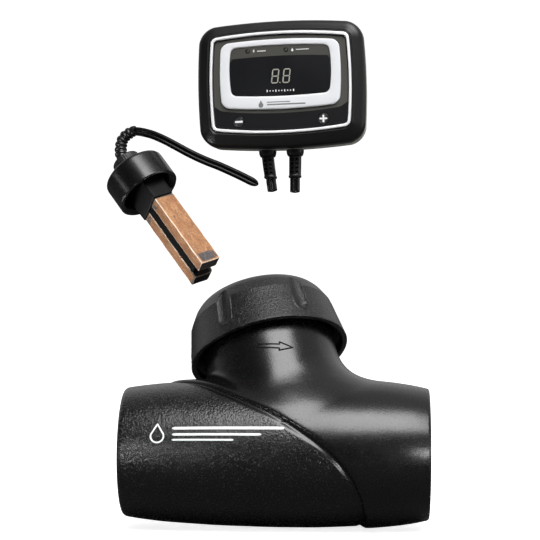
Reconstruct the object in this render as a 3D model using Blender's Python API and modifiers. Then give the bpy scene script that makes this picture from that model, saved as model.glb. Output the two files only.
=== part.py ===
"""Electrode water-treatment set for a pond or pool circuit, standing as a display group.

Three units in one frame, +Z up, +X the flow direction, -Y the front:
  chamber     in-line flow chamber with a leaning branch neck, a screw cap and a seat insert
  probe       electrode head above the chamber, with two metal bars, a boot and a lead
  controller  wall box above the chamber, with display, two push buttons and two leads
The world origin is the middle of the group's footprint at floor level. Dimensions are in
millimetres and angles in degrees; UNIT turns millimetres into metres.
"""
from bisect import bisect_left
from math import cos, hypot, pi, radians, sin, sqrt

import bmesh
import bpy
from mathutils import Matrix, Vector

UNIT = 0.001                          # metres in a millimetre
GAP = 0.3                             # assembly gap between neighbouring pieces
GROUP_SHIFT = (5.56, -24.82, 60.55)   # middle of the chamber's pipe axis, in the world
ROUND_STEPS = 32                      # facets of the large round pieces
SHARP_ANGLE = 35.0                    # edges that turn more than this are shaded sharp

# ---------------------------------------------------------------- scene
for old in list(bpy.data.objects):
    bpy.data.objects.remove(old, do_unlink=True)
PARTS = bpy.data.collections.new("electrode_water_treatment_set")
HELPERS = bpy.data.collections.new("cutters")
for collection in (PARTS, HELPERS):
    bpy.context.scene.collection.children.link(collection)


# ---------------------------------------------------------------- materials
def material(name, colour, roughness, metallic=0.0):
    result = bpy.data.materials.new(name)
    result.use_nodes = True
    inputs = result.node_tree.nodes["Principled BSDF"].inputs
    inputs["Base Color"].default_value = (*colour, 1.0)
    inputs["Roughness"].default_value = roughness
    inputs["Metallic"].default_value = metallic
    result.diffuse_color = (*colour, 1.0)
    return result


CHAMBER_PLASTIC = material("chamber_plastic", colour=(0.012, 0.012, 0.013), roughness=0.42)
CAP_PLASTIC = material("cap_plastic", colour=(0.014, 0.014, 0.015), roughness=0.45)
SEAT_PLASTIC = material("seat_plastic", colour=(0.03, 0.03, 0.032), roughness=0.5)
SEAL_RUBBER = material("seal_rubber", colour=(0.02, 0.02, 0.02), roughness=0.75)
PROBE_PLASTIC = material("probe_plastic", colour=(0.014, 0.014, 0.015), roughness=0.4)
COPPER = material("electrode_copper", colour=(0.62, 0.33, 0.2), roughness=0.42, metallic=1.0)
BRASS = material("stud_brass", colour=(0.7, 0.5, 0.2), roughness=0.35, metallic=1.0)
BOOT_RUBBER = material("boot_rubber", colour=(0.018, 0.018, 0.018), roughness=0.6)
LEAD_JACKET = material("lead_jacket", colour=(0.02, 0.02, 0.02), roughness=0.45)
BEZEL_PLASTIC = material("bezel_plastic", colour=(0.02, 0.02, 0.021), roughness=0.35)
SHELL_PLASTIC = material("shell_plastic", colour=(0.33, 0.33, 0.31), roughness=0.5)
FACE_FILM = material("face_film", colour=(0.09, 0.088, 0.08), roughness=0.4)
TRIM_SILVER = material("trim_silver", colour=(0.82, 0.83, 0.85), roughness=0.25, metallic=1.0)
WINDOW_TINT = material("window_tint", colour=(0.02, 0.021, 0.025), roughness=0.12)
DISPLAY_BLACK = material("display_black", colour=(0.03, 0.03, 0.032), roughness=0.5)
LED_CLEAR = material("led_clear", colour=(0.55, 0.56, 0.5), roughness=0.2)
BUTTON_BLACK = material("button_black", colour=(0.02, 0.02, 0.021), roughness=0.45)
SWITCH_BODY = material("switch_body", colour=(0.05, 0.05, 0.05), roughness=0.5)
BOARD_GREEN = material("board_green", colour=(0.03, 0.15, 0.06), roughness=0.5)
CHIP_BLACK = material("chip_black", colour=(0.02, 0.02, 0.02), roughness=0.6)
CAN_ALUMINIUM = material("can_aluminium", colour=(0.6, 0.6, 0.62), roughness=0.35, metallic=1.0)
TERMINAL_GREEN = material("terminal_green", colour=(0.05, 0.3, 0.12), roughness=0.5)
SCREW_STEEL = material("screw_steel", colour=(0.55, 0.55, 0.56), roughness=0.3, metallic=1.0)


# ---------------------------------------------------------------- placing
def rot(axis, degrees):
    return Matrix.Rotation(radians(degrees), 3, axis)


def place(obj, parent, location=(0, 0, 0), rotation=Matrix.Identity(3)):
    obj.parent = parent
    matrix = rotation.to_4x4()
    matrix.translation = Vector(location) * UNIT
    obj.matrix_basis = matrix


def frame(name, parent, **position):
    """An empty that carries the axes of the pieces parented to it."""
    result = bpy.data.objects.new(name, None)
    result.empty_display_size = 0.03
    HELPERS.objects.link(result)
    place(result, parent, **position)
    return result


def add(name, data, parent, mat=None, **position):
    """Link a part, or a hidden helper when it has no material."""
    obj = bpy.data.objects.new(name, data)
    place(obj, parent, **position)
    if mat is None:
        HELPERS.objects.link(obj)
        obj.hide_render = True
        obj.display_type = 'WIRE'
    else:
        PARTS.objects.link(obj)
        data.materials.append(mat)
    return obj


def facing_front(x, z):
    """Position arguments that point a piece's own +Z at the front, -Y."""
    return dict(location=(x, 0, z), rotation=rot('X', 90))


# ---------------------------------------------------------------- shapes
def finish_mesh(name, bm, smooth=True):
    bmesh.ops.recalc_face_normals(bm, faces=bm.faces[:])
    mesh = bpy.data.meshes.new(name)
    bm.to_mesh(mesh)
    bm.free()
    if smooth:
        mesh.shade_smooth()
        mesh.set_sharp_from_angle(angle=radians(SHARP_ANGLE))
    return mesh


def boolean(obj, other, operation='DIFFERENCE'):
    modifier = obj.modifiers.new(operation.lower(), 'BOOLEAN')
    modifier.operation = operation
    modifier.object = other
    modifier.solver = 'EXACT'


def turned(name, profile, parent, mat=None, steps=ROUND_STEPS, closed=False, **position):
    """Turn a (radius, height) profile about Z."""
    bm = bmesh.new()
    verts = [bm.verts.new((radius * UNIT, 0.0, z * UNIT)) for radius, z in profile]
    for start, end in zip(verts, verts[1:]):
        bm.edges.new((start, end))
    if closed:
        bm.edges.new((verts[-1], verts[0]))
    mesh = bpy.data.meshes.new(name)
    bm.to_mesh(mesh)
    bm.free()
    obj = add(name, mesh, parent, mat, **position)
    screw = obj.modifiers.new("turn", 'SCREW')
    screw.axis = 'Z'
    screw.angle = 2 * pi
    screw.screw_offset = 0.0
    screw.steps = screw.render_steps = steps
    screw.use_merge_vertices = True
    screw.merge_threshold = 0.000001
    screw.use_smooth_shade = True
    return obj


def cylinder(name, radius, bottom, top, parent, mat=None, segments=16, **position):
    bm = bmesh.new()
    bmesh.ops.create_cone(bm, cap_ends=True, segments=segments, radius1=radius * UNIT,
                          radius2=radius * UNIT, depth=(top - bottom) * UNIT)
    bmesh.ops.translate(bm, vec=(0, 0, (bottom + top) / 2 * UNIT), verts=bm.verts[:])
    return add(name, finish_mesh(name, bm), parent, mat, **position)


def block(name, size, centre, parent, mat=None, bevel=0.0):
    bm = bmesh.new()
    bmesh.ops.create_cube(bm, size=1.0)
    bmesh.ops.scale(bm, vec=Vector(size) * UNIT, verts=bm.verts[:])
    bmesh.ops.translate(bm, vec=Vector(centre) * UNIT, verts=bm.verts[:])
    obj = add(name, finish_mesh(name, bm, smooth=False), parent, mat)
    if bevel:
        modifier = obj.modifiers.new("edges", 'BEVEL')
        modifier.width = bevel * UNIT
        modifier.segments = 1
        modifier.limit_method = 'ANGLE'
    return obj


def skinned(name, rows, parent, mat=None, loop=False):
    """Join rows of points in order; cap both ends, or join last to first when loop is set."""
    bm = bmesh.new()
    rows = [[bm.verts.new([value * UNIT for value in point]) for point in row] for row in rows]
    count = len(rows[0])
    pairs = list(zip(rows, rows[1:]))
    if loop:
        pairs.append((rows[-1], rows[0]))
    for this, following in pairs:
        for i in range(count):
            j = (i + 1) % count
            bm.faces.new((this[i], this[j], following[j], following[i]))
    if not loop:
        bm.faces.new(rows[0])
        bm.faces.new(list(reversed(rows[-1])))
    return add(name, finish_mesh(name, bm), parent, mat)


def loft(name, rings, parent, mat=None, loop=False):
    """Skin (outline, y) rings, each outline being (x, z) points."""
    rows = [[(x, y, z) for x, z in outline] for outline, y in rings]
    return skinned(name, rows, parent, mat, loop)


RIDGE_STEPS = 24          # sections in one turn of thread
RIDGE_ROOT_HALF = 1.5     # half width at the root
RIDGE_CREST_HALF = 0.7    # half width at the crest
RIDGE_TIP_HALF = 0.3      # half width the crest narrows to at the ends
RIDGE_EMBED = 0.6         # how far the root is sunk into the wall


def helix_ridge(name, root, crest, pitch, turns, bottom, parent):
    """A trapezoid thread ridge whose height runs out over its first and last eighth turn."""
    foot = root - (RIDGE_EMBED if crest > root else -RIDGE_EMBED)
    count = int(RIDGE_STEPS * turns)
    fade = RIDGE_STEPS // 8
    rows = []
    for i in range(count + 1):
        angle = 2 * pi * i / RIDGE_STEPS
        share = min(1.0, (min(i, count - i) + 0.4) / fade)
        top = root + (crest - root) * share
        half = RIDGE_CREST_HALF * share + RIDGE_TIP_HALF * (1 - share)
        middle = bottom + pitch * i / RIDGE_STEPS
        section = [(foot, -RIDGE_ROOT_HALF), (top, -half), (top, half), (foot, RIDGE_ROOT_HALF)]
        rows.append([(radius * cos(angle), radius * sin(angle), middle + offset)
                     for radius, offset in section])
    return skinned(name, rows, parent)


OUTLINE_SAMPLES = 720     # directions in which an outline is first sampled
HALVINGS = 34             # bisection steps along each direction
TURN_WEIGHT = 0.55        # how strongly points gather where the outline turns


def bowed_outline(half_width, half_height, bow, corner, count=36, centre_z=0.0):
    """Points (x, z) of a rounded rectangle with outward-bowed sides.

    bow is (bow of the left and right sides, bow of the top and bottom)."""
    def inside(x, z):
        over_x = abs(x) - (half_width - corner - bow[0] * (z / half_height) ** 2)
        over_z = abs(z) - (half_height - corner - bow[1] * (x / half_width) ** 2)
        return (hypot(max(over_x, 0), max(over_z, 0)) + min(max(over_x, over_z), 0)
                - corner < 0)

    dense = []
    for i in range(OUTLINE_SAMPLES):
        angle = 2 * pi * (i + 0.5) / OUTLINE_SAMPLES
        near, far = 0.0, half_width + half_height
        for _ in range(HALVINGS):
            middle = (near + far) / 2
            if inside(middle * cos(angle), middle * sin(angle)):
                near = middle
            else:
                far = middle
        dense.append(Vector((near * cos(angle), near * sin(angle))))
    steps = [dense[(i + 1) % OUTLINE_SAMPLES] - dense[i] for i in range(OUTLINE_SAMPLES)]
    bends = [abs(steps[i - 1].angle_signed(steps[i], 0.0)) for i in range(OUTLINE_SAMPLES)]
    # running measure that mixes length with turning, shared out equally between the points
    measure = [0.0]
    for i, step in enumerate(steps):
        bend = bends[i] + bends[(i + 1) % OUTLINE_SAMPLES]
        measure.append(measure[-1] + step.length / (half_width + half_height)
                       + TURN_WEIGHT * bend / 2)
    points, j = [], 0
    for k in range(count):
        wanted = measure[-1] * k / count
        while measure[j + 1] < wanted:
            j += 1
        share = (wanted - measure[j]) / (measure[j + 1] - measure[j])
        point = dense[j].lerp(dense[(j + 1) % OUTLINE_SAMPLES], share)
        points.append((point.x, point.y + centre_z))
    return points


LEAD_NOSE_START = 2.2                 # length of the rounded nose at the path's start
LEAD_NOSE_END = 1.6                   # and at its end
LEAD_NOSE_SIZES = (0.12, 0.5, 0.8, 1.0)   # shares of full section along a nose
LEAD_WAIST = 0.18                     # how much the middle of the flat sides is drawn in
LEAD_REACH = 2.0                      # distance either side over which direction is taken


def lead(name, path, half_width, half_thickness, parent, facets):
    """Twin-core flat lead swept along path, with a rounded nose at both ends.

    Its thickness lies along the parent's Y."""
    points = [Vector(point) for point in path]
    lengths = [0.0]
    for start, end in zip(points, points[1:]):
        lengths.append(lengths[-1] + (end - start).length)
    total = lengths[-1]

    def point_at(distance):
        distance = min(max(distance, 0.0), total)
        i = bisect_left(lengths, distance, 1)
        share = (distance - lengths[i - 1]) / (lengths[i] - lengths[i - 1])
        return points[i - 1].lerp(points[i], share)

    def nose(length, size):
        return length * (1 - sqrt(1 - size * size))

    stations = [(nose(LEAD_NOSE_START, size), size) for size in LEAD_NOSE_SIZES]
    stations += [(distance, 1.0) for distance in lengths[1:-1]
                 if LEAD_NOSE_START * 1.2 < distance < total - LEAD_NOSE_END * 1.2]
    stations += [(total - nose(LEAD_NOSE_END, size), size)
                 for size in reversed(LEAD_NOSE_SIZES)]
    rows = []
    for distance, size in stations:
        centre = point_at(distance)
        along = (point_at(distance + LEAD_REACH) - point_at(distance - LEAD_REACH)).normalized()
        wide = along.cross(Vector((0, 1, 0))).normalized()
        thin = wide.cross(along).normalized()
        row = []
        for j in range(facets):
            angle = 2 * pi * j / facets
            waist = 1.0 - LEAD_WAIST * (1 - abs(cos(angle))) ** 2
            row.append(centre + wide * (half_width * cos(angle) * size)
                       + thin * (half_thickness * sin(angle) * size * waist))
        rows.append(row)
    add_to = dict(parent=parent, mat=LEAD_JACKET)
    return skinned(name, rows, **add_to)


def boot(name, stations, parent):
    """A moulded strain relief through (x, y, z, radius) stations: a bevelled curve, meshed."""
    curve = bpy.data.curves.new(name, 'CURVE')
    curve.dimensions = '3D'
    curve.bevel_depth = UNIT
    curve.bevel_resolution = 2
    curve.use_fill_caps = True
    curve.twist_mode = 'MINIMUM'
    spline = curve.splines.new('POLY')
    spline.points.add(len(stations) - 1)
    for point, (x, y, z, radius) in zip(spline.points, stations):
        point.co = (x * UNIT, y * UNIT, z * UNIT, 1.0)
        point.radius = radius
    guide = add(name + "_guide", curve, parent)
    bpy.context.view_layer.update()
    swept = bpy.data.meshes.new_from_object(
        guide.evaluated_get(bpy.context.evaluated_depsgraph_get()))
    bpy.data.objects.remove(guide, do_unlink=True)
    bm = bmesh.new()
    bm.from_mesh(swept)
    # the end caps come apart from the tube
    bmesh.ops.remove_doubles(bm, verts=bm.verts[:], dist=0.00001)
    add(name, finish_mesh(name, bm), parent, BOOT_RUBBER)
    bpy.data.meshes.remove(swept)


# ================================================================ flow chamber
CHAMBER_HALF_LENGTH = 125.0
CHAMBER_YAW = -2.9
CHAMBER_ROLL = -29.0      # about the pipe axis, the neck leans to the back
CHAMBER_DROP = 0.25       # outlet end a little lower
BRANCH_X = 12.9           # where the neck axis crosses the pipe axis
BRANCH_LEAN = -13.0       # neck leans towards the inlet
SOCKET_R = 44.6           # slip socket for 88.9 mm pipe
SOCKET_DEPTH = 45.0
BORE_R = 40.0
# (radius, place along the pipe), outlet end first
BARREL = [
    (51.0, 125.0), (53.6, 122.6), (55.6, 115.0), (58.4, 97.0), (60.1, 76.0), (60.6, 36.0),
    (60.4, 0.0), (59.3, -48.0), (56.7, -93.0), (53.3, -119.0), (50.6, -125.0)]

# heights from here on are along the neck axis, from the pipe axis
NECK_R = 56.0
NECK_TOP = 132.5
NECK_FOOT = 15.0
NECK_BORE_R = 46.5
NECK_BORE_FOOT = 4.0
THREAD_ROOT_R = 51.5
THREAD_CREST_R = 53.7
THREAD_PITCH = 6.0
THREAD_START = 108.0

CAP_RIM_Z = 91.0
CAP_TOP_Z = 145.0
CAP_RIM_R = 67.2
CAP_TAPER = 0.19          # radius lost per mm of height
CAP_SKIRT_R = 62.5        # inside the rim, below the thread
CAP_INNER_R = 54.6
CAP_CREST_R = 52.6
CAP_SHELF_Z = 136.2
CAP_OPENING_R = 30.0
# (radius, height) of the rounded shoulder, top first
CAP_SHOULDER = [(38.0, 144.6), (46.0, 143.2), (51.2, 140.6), (54.9, 136.5), (58.0, 131.0),
                (60.2, 126.0)]
SCALLOP_R = 8.0
SCALLOP_LENGTH = 48.0
SCALLOP_DEPTH = 3.0
SCALLOP_DEPTH_Z = 104.0   # height at which the depth is set
SCALLOP_Z = 107.0
SCALLOP_TILT = -10.7
SCALLOP_COUNT = 6

SEAT_FLANGE_R = 50.8
SEAT_PLUG_R = NECK_BORE_R - GAP
SEAT_FOOT = 116.5
SEAT_INNER_R = 39.6
NIPPLE_R = 21.5
NIPPLE_BORE_R = 18.5
NIPPLE_TOP = 157.0
GROOVE_R = 42.8
GROOVE_TOP, GROOVE_FOOT = 126.7, 123.1
SEAL_MAJOR_R, SEAL_MINOR_R = 44.6, 1.45


def build_chamber_body(chamber_axis, branch_axis):
    """Barrel and threaded neck joined, then bored through along both axes."""
    end = CHAMBER_HALF_LENGTH
    along_pipe = rot('Y', 90)
    chamber = turned("chamber_body", [(0.0, end)] + BARREL + [(0.0, -end)], chamber_axis,
                     CHAMBER_PLASTIC, rotation=along_pipe)
    neck = turned("neck_form", [
        (0, NECK_TOP), (THREAD_ROOT_R - 1.0, NECK_TOP), (THREAD_ROOT_R, NECK_TOP - 1.0),
        (THREAD_ROOT_R, 97.0), (NECK_R, 94.5), (NECK_R, 78.0), (NECK_R + 1.0, 55.0),
        (NECK_R + 1.5, NECK_FOOT), (0, NECK_FOOT)], branch_axis)
    ridge = helix_ridge("neck_ridge", THREAD_ROOT_R, THREAD_CREST_R, THREAD_PITCH, 2.25,
                        THREAD_START, branch_axis)
    boolean(neck, ridge, 'UNION')
    boolean(chamber, neck, 'UNION')

    socket_floor = end - SOCKET_DEPTH
    past_end = end + 5
    bore = turned("pipe_bore", [
        (0, past_end), (SOCKET_R, past_end), (SOCKET_R, socket_floor), (BORE_R, socket_floor),
        (BORE_R, -socket_floor), (SOCKET_R, -socket_floor), (SOCKET_R, -past_end),
        (0, -past_end)], chamber_axis, rotation=along_pipe)
    past_top = NECK_TOP + 8
    neck_bore = turned("neck_bore", [
        (0, past_top), (NECK_BORE_R, past_top), (NECK_BORE_R, NECK_BORE_FOOT),
        (0, NECK_BORE_FOOT)], branch_axis)
    boolean(chamber, bore)
    boolean(chamber, neck_bore)


def cap_radius(z):
    """Radius of the cap's tapered flank."""
    return CAP_RIM_R - CAP_TAPER * (z - CAP_RIM_Z)


def build_cap(branch_axis):
    flank = [(cap_radius(z), z) for z in (118.0, 106.0, 93.5)]
    rim = [(CAP_RIM_R, CAP_RIM_Z + 0.8), (CAP_RIM_R - 0.8, CAP_RIM_Z)]
    inner = [(CAP_SKIRT_R, CAP_RIM_Z), (CAP_SKIRT_R, 98.5), (CAP_INNER_R, 103.5),
             (CAP_INNER_R, 131.5), (51.8, CAP_SHELF_Z), (CAP_OPENING_R, CAP_SHELF_Z)]
    cap = turned("cap_nut", [(CAP_OPENING_R, CAP_TOP_Z)] + CAP_SHOULDER + flank + rim + inner,
                 branch_axis, CAP_PLASTIC, closed=True)
    # half a pitch up, so that it runs between the turns of the neck thread
    ridge = helix_ridge("cap_ridge", CAP_INNER_R, CAP_CREST_R, THREAD_PITCH, 1.5,
                        THREAD_START + THREAD_PITCH / 2, branch_axis)
    boolean(cap, ridge, 'UNION')

    reach = cap_radius(SCALLOP_DEPTH_Z) + SCALLOP_R - SCALLOP_DEPTH
    round_end = [(SCALLOP_R * cos(radians(angle)), -SCALLOP_R * sin(radians(angle)))
                 for angle in (30, 60)]
    profile = ([(0, SCALLOP_LENGTH), (SCALLOP_R, SCALLOP_LENGTH), (SCALLOP_R, 0.0)]
               + round_end + [(0, -SCALLOP_R)])
    for k in range(SCALLOP_COUNT):
        azimuth = k * 360.0 / SCALLOP_COUNT
        location = (reach * cos(radians(azimuth)), reach * sin(radians(azimuth)), SCALLOP_Z)
        boolean(cap, turned("scallop_form_%d" % k, profile, branch_axis, steps=10,
                            location=location,
                            rotation=rot('Z', azimuth) @ rot('Y', SCALLOP_TILT)))


def build_seat(branch_axis):
    """Insert between neck and cap: nipple, flange, and plug with a seal groove."""
    flange_top = CAP_SHELF_Z - GAP
    flange_foot = NECK_TOP + GAP
    turned("probe_seat", [
        (NIPPLE_R - 0.8, NIPPLE_TOP), (NIPPLE_R, NIPPLE_TOP - 0.8), (NIPPLE_R, flange_top),
        (SEAT_FLANGE_R, flange_top), (SEAT_FLANGE_R, flange_foot), (SEAT_PLUG_R, flange_foot),
        (SEAT_PLUG_R, GROOVE_TOP), (GROOVE_R, GROOVE_TOP), (GROOVE_R, GROOVE_FOOT),
        (SEAT_PLUG_R, GROOVE_FOOT), (SEAT_PLUG_R, SEAT_FOOT + 0.8),
        (SEAT_PLUG_R - 0.8, SEAT_FOOT), (SEAT_INNER_R, SEAT_FOOT), (SEAT_INNER_R, 130.0),
        (24.0, 130.0), (22.5, SEAT_FOOT), (NIPPLE_BORE_R, SEAT_FOOT),
        (NIPPLE_BORE_R, NIPPLE_TOP)], branch_axis, SEAT_PLASTIC, steps=28, closed=True)


def build_seat_seal(branch_axis):
    """O-ring in the seat's groove."""
    bpy.ops.mesh.primitive_torus_add(
        major_radius=SEAL_MAJOR_R * UNIT, minor_radius=SEAL_MINOR_R * UNIT,
        major_segments=28, minor_segments=6)
    ring = bpy.context.object
    mesh = ring.data
    bpy.data.objects.remove(ring, do_unlink=True)
    mesh.shade_smooth()
    add("seat_seal", mesh, branch_axis, SEAL_RUBBER,
        location=(0, 0, (GROOVE_TOP + GROOVE_FOOT) / 2))


def build_chamber(group):
    chamber_axis = frame("chamber_axis", group, rotation=rot('Y', CHAMBER_DROP)
                         @ rot('Z', CHAMBER_YAW) @ rot('X', CHAMBER_ROLL))
    branch_axis = frame("branch_axis", chamber_axis, location=(BRANCH_X, 0, 0),
                        rotation=rot('Y', BRANCH_LEAN))
    build_chamber_body(chamber_axis, branch_axis)
    build_cap(branch_axis)
    build_seat(branch_axis)
    build_seat_seal(branch_axis)


# ================================================================ electrode probe
# the probe's own frame: +Z to the bar tips, X across the bars, origin in the nut's rim
PROBE_RIM = (-103.75, 0.0, 212.54)
PROBE_AXIS = Vector((0.5475, -0.3949, -0.7377)).normalized()
PROBE_WIDTH = Vector((0.7733, 0.5756, 0.2658))    # made square to the axis below
NUT_R = 26.6
NUT_BORE_R = 22.2
NUT_LENGTH = 25.4
NUT_FLOOR = -22.0
BOSS_R = 12.0
BOSS_END = -38.6
CORE_R = 21.4
HEAD_FLOOR = -18.0        # foot of the seal and of the holder
HOLDER_SECTION = (19.4, 30.0)
HOLDER_END = 14.3
BAR_WIDTH, BAR_THICK, BAR_LENGTH = 17.6, 9.85, 71.6
BAR_GAP = 7.9
BAR_START = HOLDER_END + GAP
BAR_Y = (BAR_GAP + BAR_THICK) / 2
STUD_R, STUD_HOLE_R = 1.55, 1.9
STUD_START = -17.2
STUD_DEPTH, STUD_HOLE_DEPTH = 8.2, 9.0    # into the bar
SPACER_WIDTH, SPACER_LENGTH = 17.2, 67.0

# group frame from here on
BOOT_BEND = [             # x, y, z, radius: turning over from the boss into the lead
    (-128.4, 17.2, 245.5, 4.7), (-128.9, 18.8, 249.7, 4.6), (-128.5, 19.8, 254.8, 4.6),
    (-127.2, 20.0, 258.5, 4.5), (-123.9, 19.7, 262.4, 4.5), (-118.9, 18.6, 265.0, 4.4),
    (-116.8, 18.0, 265.2, 4.4)]
PROBE_LEAD_PIVOT = (-114.2, 17.4, 265.0)
PROBE_LEAD_PATH = [       # x, y, z, from the boot to the free end
    (-116.1, 17.8, 265.15), PROBE_LEAD_PIVOT, (-111.0, 16.8, 264.5), (-107.0, 15.8, 263.5),
    (-101.0, 14.0, 261.6), (-91.8, 11.2, 257.4), (-82.5, 9.0, 252.4), (-73.4, 7.4, 247.4),
    (-64.2, 6.0, 242.8), (-55.5, 5.0, 239.0), (-46.9, 4.0, 235.6), (-37.8, 3.0, 231.5),
    (-28.7, 2.0, 227.2), (-22.0, 1.0, 223.8), (-13.6, 0.0, 219.6)]


def build_probe_head(probe_axis):
    """Nut, the core with its boss, and the seal in front of the core."""
    turned("probe_nut", [
        (BOSS_R + GAP, -NUT_LENGTH), (BOSS_R + GAP, NUT_FLOOR), (NUT_BORE_R, NUT_FLOOR),
        (NUT_BORE_R, -1.5), (NUT_BORE_R + 0.9, -0.6), (24.3, 0.0), (NUT_R - 0.6, -0.2),
        (NUT_R, -1.2), (NUT_R, -NUT_LENGTH + 3.0), (NUT_R - 1.0, -NUT_LENGTH + 0.9),
        (NUT_R - 3.4, -NUT_LENGTH)], probe_axis, PROBE_PLASTIC, steps=28, closed=True)
    core_face = HEAD_FLOOR - GAP
    core_back = NUT_FLOOR + GAP
    turned("probe_core", [
        (0, core_face), (CORE_R - 0.6, core_face), (CORE_R, core_face - 0.6),
        (CORE_R, core_back), (BOSS_R, core_back), (BOSS_R, BOSS_END + 1.5),
        (BOSS_R - 1.5, BOSS_END), (0, BOSS_END)], probe_axis, PROBE_PLASTIC, steps=20)
    turned("probe_seal", [(21.6, -15.6), (21.6, HEAD_FLOOR), (18.6, HEAD_FLOOR),
                          (18.6, -15.6)], probe_axis, SEAL_RUBBER, steps=20, closed=True)


def build_electrodes(probe_axis):
    """Holder and two bars on studs, with a spacer between the bars."""
    holder = block("electrode_holder", (*HOLDER_SECTION, HOLDER_END - HEAD_FLOOR),
                   (0, 0, (HOLDER_END + HEAD_FLOOR) / 2), probe_axis, PROBE_PLASTIC, bevel=0.8)
    for key, y in (("front", BAR_Y), ("rear", -BAR_Y)):
        hole = cylinder("stud_hole_" + key, STUD_HOLE_R, -30.0, BAR_START + STUD_HOLE_DEPTH,
                        probe_axis, segments=12, location=(0, y, 0))
        boolean(holder, hole)
        bar = block("electrode_" + key, (BAR_WIDTH, BAR_THICK, BAR_LENGTH),
                    (0, y, BAR_START + BAR_LENGTH / 2), probe_axis, COPPER, bevel=0.7)
        boolean(bar, hole)
        cylinder("electrode_stud_" + key, STUD_R, STUD_START, BAR_START + STUD_DEPTH,
                 probe_axis, BRASS, segments=12, location=(0, y, 0))
    block("electrode_spacer", (SPACER_WIDTH, BAR_GAP - 2 * GAP, SPACER_LENGTH),
          (0, 0, BAR_START + SPACER_LENGTH / 2), probe_axis, PROBE_PLASTIC, bevel=0.5)


def build_probe_boot(group):
    """A short collar on the end of the boss, then the bend."""
    foot = Vector(PROBE_RIM) + PROBE_AXIS * (BOSS_END - GAP)
    collar = [(*(foot - PROBE_AXIS * distance), radius)
              for distance, radius in ((0.0, 6.2), (1.2, 6.2), (1.3, 4.7))]
    boot("probe_boot", collar + BOOT_BEND, frame("world_axis", group))


def build_probe_lead(group):
    pivot = frame("probe_lead_pivot", group, location=PROBE_LEAD_PIVOT)
    path = [Vector(point) - Vector(PROBE_LEAD_PIVOT) for point in PROBE_LEAD_PATH]
    lead("probe_lead", path, half_width=3.5, half_thickness=2.0, parent=pivot, facets=10)


def build_probe(group):
    across = (PROBE_WIDTH - PROBE_AXIS * PROBE_AXIS.dot(PROBE_WIDTH)).normalized()
    axes = Matrix((across, PROBE_AXIS.cross(across), PROBE_AXIS)).transposed()
    probe_axis = frame("probe_axis", group, location=PROBE_RIM, rotation=axes)
    build_probe_head(probe_axis)
    build_electrodes(probe_axis)
    build_probe_boot(group)
    build_probe_lead(group)


# ================================================================ controller
BOX_CENTRE = (5.2, 0.0, 301.4)
BOX_TILT, BOX_PITCH, BOX_YAW = -1.65, -4.5, -8.5    # about Y, X and Z
BOX_HALF_WIDTH, BOX_HALF_HEIGHT = 69.2, 52.6
BOX_BOW = (2.6, 4.2)
BOX_CORNER = 13.5
BOX_BACK = 20.0
WALL = 2.5
GASKET_HALF = 0.5
SEAM = GASKET_HALF + GAP              # from the middle plane to bezel and shell

FACE_Z = 0.7                          # middle of the face opening
FACE_BOW = (2.2, 4.0)
OPENING_HALF_WIDTH, OPENING_HALF_HEIGHT = 58.6, 42.3
LEDGE_HALF_WIDTH, LEDGE_HALF_HEIGHT = 54.6, 39.2
LEDGE_BOW = (2.1, 3.8)
LEDGE_Y = -9.0
PLATE_BACK = LEDGE_Y - GAP
PLATE_FRONT = -11.4
TRIM_WIDTH = 2.4                      # inset of the outer trim's inner edge
RING_HALF_WIDTH, RING_HALF_HEIGHT, RING_Z = 49.7, 28.8, 7.4
WINDOW_HALF_WIDTH, WINDOW_HALF_HEIGHT, WINDOW_Z = 41.8, 21.1, 10.2

CORNERS = [(-1, -1), (-1, 1), (1, -1), (1, 1)]    # signs of x and z
SCREW_X, SCREW_Z = 57.0, 41.6
# name, operation, radius, start and end towards the front, facets, x, z; one per corner
BEZEL_CORNER_FEATURES = [
    ("post", 'UNION', 3.6, -0.7, 8.0, 10, SCREW_X, SCREW_Z),
    ("pilot", 'DIFFERENCE', 1.9, -3.0, 5.2, 8, SCREW_X, SCREW_Z)]
SHELL_CORNER_FEATURES = [
    ("boss", 'UNION', 4.3, -18.5, -1.0, 10, SCREW_X, SCREW_Z),
    ("clear", 'DIFFERENCE', 1.9, -25.0, 2.0, 8, SCREW_X, SCREW_Z),
    ("counter", 'DIFFERENCE', 3.4, -25.0, -17.6, 10, SCREW_X, SCREW_Z),
    ("standoff", 'UNION', 2.6, -18.5, -4.0, 8, 42.0, 26.0)]
KEYHOLE_X, KEYHOLE_Z, KEYSLOT_Z = 30.0, 8.0, 13.0
KEYHOLE_R = 4.2
KEYSLOT_SIZE = (4.2, 15.0, 10.0)
LEAD_HOLE_R = 5.2

# turned profiles: (radius, distance towards the front)
SCREW_PROFILE = [(0, 4.4), (1.1, 4.4), (1.5, 3.6), (1.5, -17.8), (2.9, -18.0), (2.9, -19.2),
                 (2.4, -19.6), (0, -19.6)]
LED_PROFILE = [(0, 12.9), (0.8, 12.6), (1.4, 11.8), (1.5, 11.0), (1.5, -1.8), (0, -1.8)]
BUTTON_R = 4.3
BUTTON_PROFILE = [(0, 12.3), (3.5, 12.3), (4.1, 12.1), (BUTTON_R, 11.7), (BUTTON_R, 9.0),
                  (5.3, 9.0), (5.3, 8.1), (1.6, 8.1), (1.6, 6.8), (0, 6.8)]
CAPACITOR_PROFILE = [(0, -4.0), (4.7, -4.0), (5.0, -4.6), (5.0, -15.0), (4.4, -15.6),
                     (0, -15.6)]
LEDS = (("power", -26.5), ("ion", 5.0))           # name, x
LED_Z = 26.9
LED_HOLE_R = 1.95
BUTTON_X, BUTTON_Z = 34.7, -30.6
BUTTON_CLEARANCE = 0.45
SWITCH_SIZE = (6.0, 6.0, 3.8)
CAPACITOR_X, CAPACITOR_Z = -22.0, -8.0
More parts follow.
